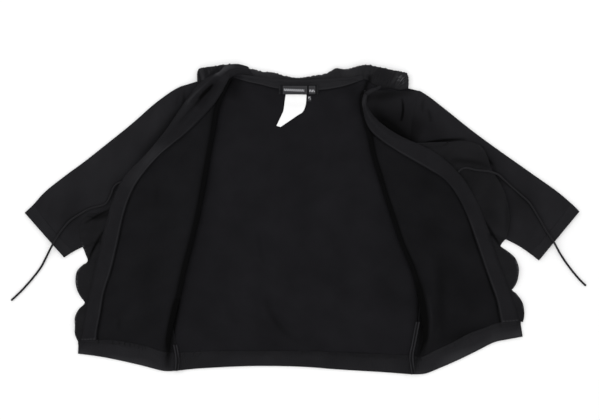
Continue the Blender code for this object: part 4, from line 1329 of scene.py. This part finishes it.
# Shade painted on the facings beside their edges and in hollows, and highlights painted on their rolls.
FACING_STROKES = {
    "right": [
        (-172, 188, -147, 214, 2.2, 1.0, 0),
        (-146, 212, -206, 146, 1.8, 0.45, 1),
        (-128, 240, -196, 176, 3.0, -0.035, 1),
        (-144, 229, -112, 247, 5.5, -0.17, -2),
        (-130, 240, -192, 180, 2.4, -0.09, 1),
        (-222, 112, -266, 76, 9, -0.03, 0),
        (-238, 112, -292, 36, 9, -0.038, 0),
        (-136, 222, -176, 174, 10, 0.42, 0),
        (-118, 240, -84, 240, 6, -0.03, 0),
    ],
    "left": [
        (105, 168, 113, 198, 2.6, -0.04, -1),
        (226, 100, 312, -20, 14, 0.13, 0),
        (110, 197, 137, 210, 2.0, -0.03, 0),
    ],
}
# The highlight painted on the ridge across its lower end, in a row of lighter marks: how far up and how
# wide the row is, how light it is, how much that changes, and how many columns one mark takes.
STITCH_UP, STITCH_WIDE = 3.0, 1.1
STITCH_LIGHT, STITCH_CHANGE, STITCH_COLS = 0.10, 0.08, 4


def lay_front_upper(side, front, seed):
    """The leg turned outwards; gives its grid back, and the whole front's grid and its painted shading and
    tone.
    """
    plan = front["upper"]
    base = front["lower"][:, -1:, 2] - WALL / 2
    floor = (base + front["height"]) * np.exp(-((front["away"] / FOLD_FADE) ** 2))
    relief = creases(plan, FRONT_CREASES[side]) + waver(plan, size=100, high=2.2, seed=seed)
    fade = np.clip(front["away"] / RELIEF_WHOLE, 0, 1)
    grid = pile.rest(plan, WALL, clear=relief * fade, floor=floor, reach=16)
    pile.lay(grid, WALL)
    fold = arc(front["lower"][:, -1], front["fold"], grid[:, 0], front["turn"], FOLD_STEPS)
    # Shade painted on the roll and beside the fold, along the facing's inner edge and in hollows, a highlight
    # along a ridge, and the front's tone and patches.
    shown = np.clip(front["turn"] * FOLD_SHOWN, 0, 1)
    upper_shading_and_tone = fold_shade(front["away"], plan[..., 1], side) * shown * ROLL_SHADE_STRENGTH
    upper_shading_and_tone += creases(plan, FRONT_DARK[side]) + creases(plan, FOLD_FEET, BLUNT) + FRONT_TONE[side]
    upper_shading_and_tone += waver(plan, size=80, high=FRONT_PATCHES[side], seed=seed)
    inward = front["tape"][:, None] - plan[:, -1:]
    inward /= np.linalg.norm(inward, axis=-1, keepdims=True)
    off = ((plan - front["tape"][:, None]) * inward).sum(axis=-1)
    upper_shading_and_tone += FACING_DARK * np.exp(-((off / FACING_SHADE) ** 2))
    roll_shading = creases(fold, FOLD_FEET, BLUNT) + shown * ROLL_SHADE_STRENGTH * FOLD_SHADOW_STRENGTH
    lower_shading = creases(front["lower"], SHOULDER_DARK[side] + FOLD_FEET, BLUNT)
    painted_shading_and_tone = sections([lower_shading, roll_shading, upper_shading_and_tone])
    return grid, sections([front["lower"], fold, grid]), painted_shading_and_tone


def facing_plan(side, front, edge):
    """The facing's plan from its inner edge to past the front edge, and how far up its rows are."""
    inner = front["tape"]
    lap = FACING_LAP + FACING_SLOPE * np.clip(1 - edge[:, 1:] / FACING_SLOPE_LONG, 0, 1)
    outer = edge + (edge - inner) / np.linalg.norm(edge - inner, axis=-1, keepdims=True) * lap
    ends = np.concatenate([inner, outer], axis=1)
    ends = spread(np.concatenate([ends[:-FACING_CUT:FACING_EACH], FACING_TOP[side]]), FACING_ROWS)
    return between(ends[:, :2], ends[:, 2:], FACING_COLS), ends[:, 3:]


front_knit = knit("black_knit_front", rgb(0.0054, 0.0053, 0.0062), rgb(0.0112, 0.0110, 0.0126), purl=True)
for side, front in fronts.items():
    upper, whole, painted_shading_and_tone = lay_front_upper(side, front, seed=31)
    panel = cloth(
        f"{side}_front_cloth", f"{side}_front_panel", whole, WALL, outside_knit,
        behind=front_knit, turned=side == "left", painted_shading_and_tone=painted_shading_and_tone,
    )
    plan, up_body = facing_plan(side, front, upper[:, -1, :2])
    high = np.clip((up_body - FACING_TURN[0]) / (FACING_TURN[1] - FACING_TURN[0]), 0, 1)
    end = np.clip(np.arange(FACING_ROWS)[::-1] / FACING_END, 0, 1)[:, None]
    low_roll, top_roll = np.array(FACING_PROFILE)[None], np.array(FACING_TOP_PROFILE[side])[None]
    roll = low_roll * (1 - high) + top_roll * high * end - FACING_SINK * (1 - end)
    facing = pile.rest(plan, WALL, clear=roll, reach=3, even=1)
    pile.lay(facing, WALL)
    # Shade and highlights painted along the facing's edges and roll, and the highlight painted across its
    # lower end.
    top_shading = np.array(FACING_TOP_SHADING[side])[None] * high * end
    facing_shading = np.array(FACING_EDGE_SHADING)[None] * (1 - high) + top_shading
    facing_shading += creases(facing, FACING_STROKES[side], BLUNT)
    up = np.linalg.norm(facing[..., :2] - facing[:1, :, :2], axis=-1)
    end_highlight = STITCH_LIGHT + STITCH_CHANGE * np.cos(math.tau * np.arange(FACING_COLS) / STITCH_COLS)
    facing_shading -= end_highlight[None] * np.exp(-(((up - STITCH_UP) / STITCH_WIDE) ** 2))
    tape = cloth(
        f"{side}_facing_cloth", f"{side}_front_facing", facing, WALL, facing_knit,
        painted_shading_and_tone=facing_shading,
    )

# Hem bands: double rib in the same yarn as the cuffs, knitted on below back and fronts. The ribs run down
# the body, and the bands' top edges sink into the seam.
BAND_WALL = 2.0
BAND_LAP = 1.5
BAND_ROWS = 10
# The shade of each band and how it falls from the top edge to the lower one; how far the top rows sink
# into the seam; and how much of the ribs is left on the first and last row.
BAND_SHADE = {"back": 0.10, "right_front": -0.030, "left_front": -0.032}
BAND_FALL = (0.08, -0.10)
BAND_DROP = (-2.3, -1.1, -0.4, 0, 0, 0, 0, 0, 0, 0)
RIB_ENDS = 0.3
# Lighter strokes along the top edges of the front bands, at their outer ends.
BAND_STROKES = [
    (336, -194.5, 378, -192, 1.7, -0.08, 0),
    (-382, -225, -340, -225.5, 1.7, -0.08, 0),
]

# Each band's table, its flat size in metres, and how many columns its grid has for the ribs.
for name, rows, flat, count in (
    ("back", BACK_BAND, (0.40, 0.028), 760),
    ("right_front", RIGHT_BAND, (0.17, 0.030), 330),
    ("left_front", LEFT_BAND, (0.20, 0.029), 390),
):
    column = columns(rows, EDGE_COLUMNS, count)
    plan = between(pair(column, "top") + (0, BAND_LAP), pair(column, "low"), BAND_ROWS)
    plan = plan.transpose(1, 0, 2)
    ribs = rib(travelled(plan.mean(axis=0)))[None] * RIB_HIGH
    ends = np.clip(from_ends(BAND_ROWS) + RIB_ENDS, 0, 1)[:, None]
    relief = ribs * ends + waver(plan, size=60, high=0.8, seed=41) + np.array(BAND_DROP)[:, None]
    grid = pile.rest(plan, BAND_WALL, clear=relief, reach=3, even=0)
    pile.lay(grid, BAND_WALL)
    # Each band's tone, lighter towards its lower edge, faint patches, lighter strokes at the top edge, and
    # shade painted at the feet of the folds.
    shade = BAND_SHADE[name] + np.linspace(*BAND_FALL, BAND_ROWS)[:, None]
    shade = shade + waver(plan, size=60, high=0.12, seed=67)
    shade += creases(plan, BAND_STROKES + FOLD_FEET, BLUNT)
    band = cloth(f"{name}_hem_rib", f"{name}_hem_band", grid, BAND_WALL, black_rib, painted_shading_and_tone=shade)

# Side seams: where they show at the hem, the two edges of the seam allowance stand up as ridges, with
# highlights painted on their crests and shade painted beside and between them.
SEAM_WIDTH = 7.0
SEAM_POINTS = 40
RIGHT_SEAM = [(-209, -272), (-208, -252), (-212, -229)]
LEFT_SEAM = [(192, -277), (189, -250), (193, -227), (197, -206), (200, -190)]
# Across a seam: how high its ridges are, from what height up a highlight is painted on them, and below what
# shade is painted.
SEAM_RIDGES = (0.0, 0.6, 1.1, 1.0, 0.4, 0.1, 0.1, 0.4, 1.0, 1.1, 0.6, 0.0)
CREST, CREST_LIGHT = 1.05, -0.07
GROOVE, GROOVE_DARK = 0.5, 0.6

for side, route, length in (("right", RIGHT_SEAM, 0.043), ("left", LEFT_SEAM, 0.08)):
    middle = spread(route, SEAM_POINTS)
    half = np.array([SEAM_WIDTH / 2, 0])
    ridges = np.array(SEAM_RIDGES)[None]
    strip = pile.rest(between(middle - half, middle + half, ridges.size), WALL, clear=ridges, reach=1, even=0)
    pile.lay(strip, WALL)
    # The highlight painted on the crests and the shade painted beside and between them.
    thread = CREST_LIGHT * (ridges > CREST) + GROOVE_DARK * (ridges < GROOVE)
    seam = cloth(f"{side}_seam_edges", f"{side}_side_seam", strip, WALL, black_rib, painted_shading_and_tone=thread)

# Labels at the back neck: a black woven strip with two grey woven labels that bear plain dashes, a small
# folded tab below, and a long bare label of white satin whose end curls to a point.
LABEL_WALL = 0.6
LABEL_BORDER = 1.0
LABEL_THREAD, LABEL_RELIEF = 0.5, 0.12
SATIN_THREAD = 0.35
# How much the rows of dashes tilt, how much a dash slants, and how much of its pitch it fills.
LABEL_TILT = 0.035
DASH_SLANT, DASH_SHARE = 0.12, 0.74
# The black strip is a little lighter over the first and last columns.
STRIP_COLS, STRIP_ENDS, STRIP_LIGHT = 68, 3, -0.05
CARE_ROWS, CARE_COLS = 40, 24
CARE_LABEL = [
    (-24, 198, 11, 196),
    (-26, 184, 10, 180),
    (-28, 170, 5, 167),
    (-31, 162, -5, 160),
    (-40, 143, -33, 141),
]


def weave_of(finish, thread):
    """Crossing threads, 0 to 1."""
    return (finish.across / thread).wave() * 0.5 + (finish.along / thread).wave() * 0.5


def woven(name, dark, light, thread, deep, roughness=0.6, specular=0.3):
    """A plain woven or satin label: thread is the pitch of its threads, deep their relief."""
    finish = Finish(name, roughness, specular=specular)
    weave = weave_of(finish, thread)
    uneven = finish.noise(size=2.5)
    colour = (weave * 0.7 + uneven * 0.3).mix(dark, light)
    return finish.done(mix_painted_shading(finish, colour), weave, deep)


def printed(name, width, height, marks):
    """A woven label with a thin border and plain woven marks, each from, to, pitch, middle, height."""
    finish = Finish(name, roughness=0.6, specular=0.1)
    weave = weave_of(finish, LABEL_THREAD)
    inside = (finish.across > LABEL_BORDER) * (finish.across < width - LABEL_BORDER)
    inside = inside * (finish.along > LABEL_BORDER) * (finish.along < height - LABEL_BORDER)
    off = finish.along - finish.across * LABEL_TILT
    dashes = 0.0
    for start, end, pitch, middle, high in marks:
        row = (abs(off - middle) < high / 2) * (finish.across > start) * (finish.across < end)
        slant = (finish.across / pitch + off * DASH_SLANT).fract()
        dashes = row * (slant < DASH_SHARE) + dashes
    ground = weave.mix(rgb(0.016, 0.016, 0.018), rgb(0.045, 0.045, 0.048))
    border = weave.mix(rgb(0.018, 0.018, 0.020), rgb(0.060, 0.060, 0.064))
    thread = weave.mix(rgb(0.16, 0.16, 0.17), rgb(0.46, 0.46, 0.48))
    colour = dashes.mix(inside.mix(border, ground), thread)
    return finish.done(colour, weave, LABEL_RELIEF)


black_woven = woven(
    "black_woven", rgb(0.003, 0.003, 0.004), rgb(0.010, 0.010, 0.011), LABEL_THREAD, deep=0.1, specular=0.05
)
name_weave = printed("grey_woven_name", width=41, height=14, marks=[(1.8, 36.0, 3.4, 6.7, 3.8)])
size_weave = printed("grey_woven_size", width=11, height=14, marks=[(1.0, 10.0, 4.6, 8.4, 4.0)])
tab_weave = printed("grey_woven_tab", width=6, height=9, marks=[(1.2, 5.2, 9.0, 3.4, 4.6)])
white_satin = woven(
    "white_satin", rgb(0.82, 0.82, 0.82), rgb(0.95, 0.95, 0.95), SATIN_THREAD, deep=0.04, roughness=0.4
)


def rectangle(left, right, low, high, rows, cols):
    """A plan from its top left."""
    x, y = np.meshgrid(np.linspace(left, right, cols), np.linspace(high, low, rows))
    return np.stack([x, y], axis=-1)


def label(name, node, plan, finish, clear=0.0, painted_shading_and_tone=0.0):
    """Lay a label on the back; one that is too small for a sheet has no flat size."""
    grid = pile.rest(plan, LABEL_WALL, clear=clear, reach=3)
    pile.lay(grid, LABEL_WALL)
    piece = cloth(name, node, grid, LABEL_WALL, finish, painted_shading_and_tone=painted_shading_and_tone)


care = spread(CARE_LABEL, CARE_ROWS)
care_plan = between(care[:, :2], care[:, 2:], CARE_COLS)
care_curl = waver(care_plan, size=30, high=1.5, seed=7)
label("care_satin", "care_label", care_plan, white_satin, care_curl)
tab_plan = rectangle(13, 19, 184.5, 193.5, rows=10, cols=8)
label("tab_woven", "size_tab", tab_plan, tab_weave)
strip_plan = rectangle(-36, 31, 196.2, 212, rows=16, cols=STRIP_COLS)
strip_ends = STRIP_LIGHT * (from_ends(STRIP_COLS) < STRIP_ENDS)[None]
label("strip_woven", "label_strip", strip_plan, black_woven, painted_shading_and_tone=strip_ends)
name_plan = rectangle(-29, 12, 196.5, 210.5, rows=14, cols=34)
label("name_woven", "woven_label", name_plan, name_weave)
size_plan = rectangle(15, 26, 196.5, 210.5, rows=14, cols=12)
label("size_woven", "size_label", size_plan, size_weave)

# Ties: thin braided cords of the same black yarn that run in the front casings. They come out at the
# breast and lie loose over the sleeves to their cut ends.
TIE_WIDTH = 3.5
TIE_SIDES = 12
TIE_POINTS, PATH_POINTS = 380, 38
# Over how many points a tie thins to its end, and how much of its width is left there.
TIE_TAPER, TIE_CUT = 2.0, 0.15
# How far apart the braid's strands are along the cord and round it, and their relief.
BRAID_LONG, BRAID_ROUND, BRAID_RELIEF = 2.2, 5.5, 0.4

braid = Finish("black_cord", roughness=0.8, specular=0.08, sheen=0.006)
along_braid, round_braid = braid.along / BRAID_LONG, braid.across / BRAID_ROUND
strands = (along_braid + round_braid).wave() * 0.5 + (along_braid - round_braid).wave() * 0.5
braid_colour = strands.mix(rgb(0.0060, 0.0059, 0.0068), rgb(0.020, 0.0196, 0.0216))
black_cord = braid.done(braid_colour, strands, BRAID_RELIEF)


def tie(name, node, route):
    """A round cord along a route, a little thinner at its ends."""
    middle = spread(route, TIE_POINTS)
    ahead = np.gradient(middle, axis=0)
    ahead /= np.linalg.norm(ahead, axis=-1, keepdims=True)
    side = np.cross(ahead, (0, 0, 1.0))
    side /= np.linalg.norm(side, axis=-1, keepdims=True)
    up = np.cross(side, ahead)
    angle = np.linspace(0, math.tau, TIE_SIDES, endpoint=False)[None, :, None]
    radius = TIE_WIDTH / 2 * np.clip(from_ends(TIE_POINTS) / TIE_TAPER, TIE_CUT, 1)[:, None, None]
    grid = middle[:, None] + radius * (side[:, None] * np.cos(angle) + up[:, None] * np.sin(angle))
    round_it = np.arange(TIE_SIDES + 1) * (TIE_WIDTH * math.pi / TIE_SIDES)
    across = np.broadcast_to(round_it, (TIE_POINTS, TIE_SIDES + 1))
    first = tuple(range(TIE_SIDES))[::-1]
    last = tuple(range((TIE_POINTS - 1) * TIE_SIDES, TIE_POINTS * TIE_SIDES))
    mesh = grid_mesh(name, grid, across, travelled(middle), ring=True, caps=(first, last))
    piece = set_down(name, node, mesh, black_cord)
    path = spread(route, PATH_POINTS) * METRES


for side, route in TIES.items():
    tie(f"{side}_tie_cord", f"{side}_tie", route)
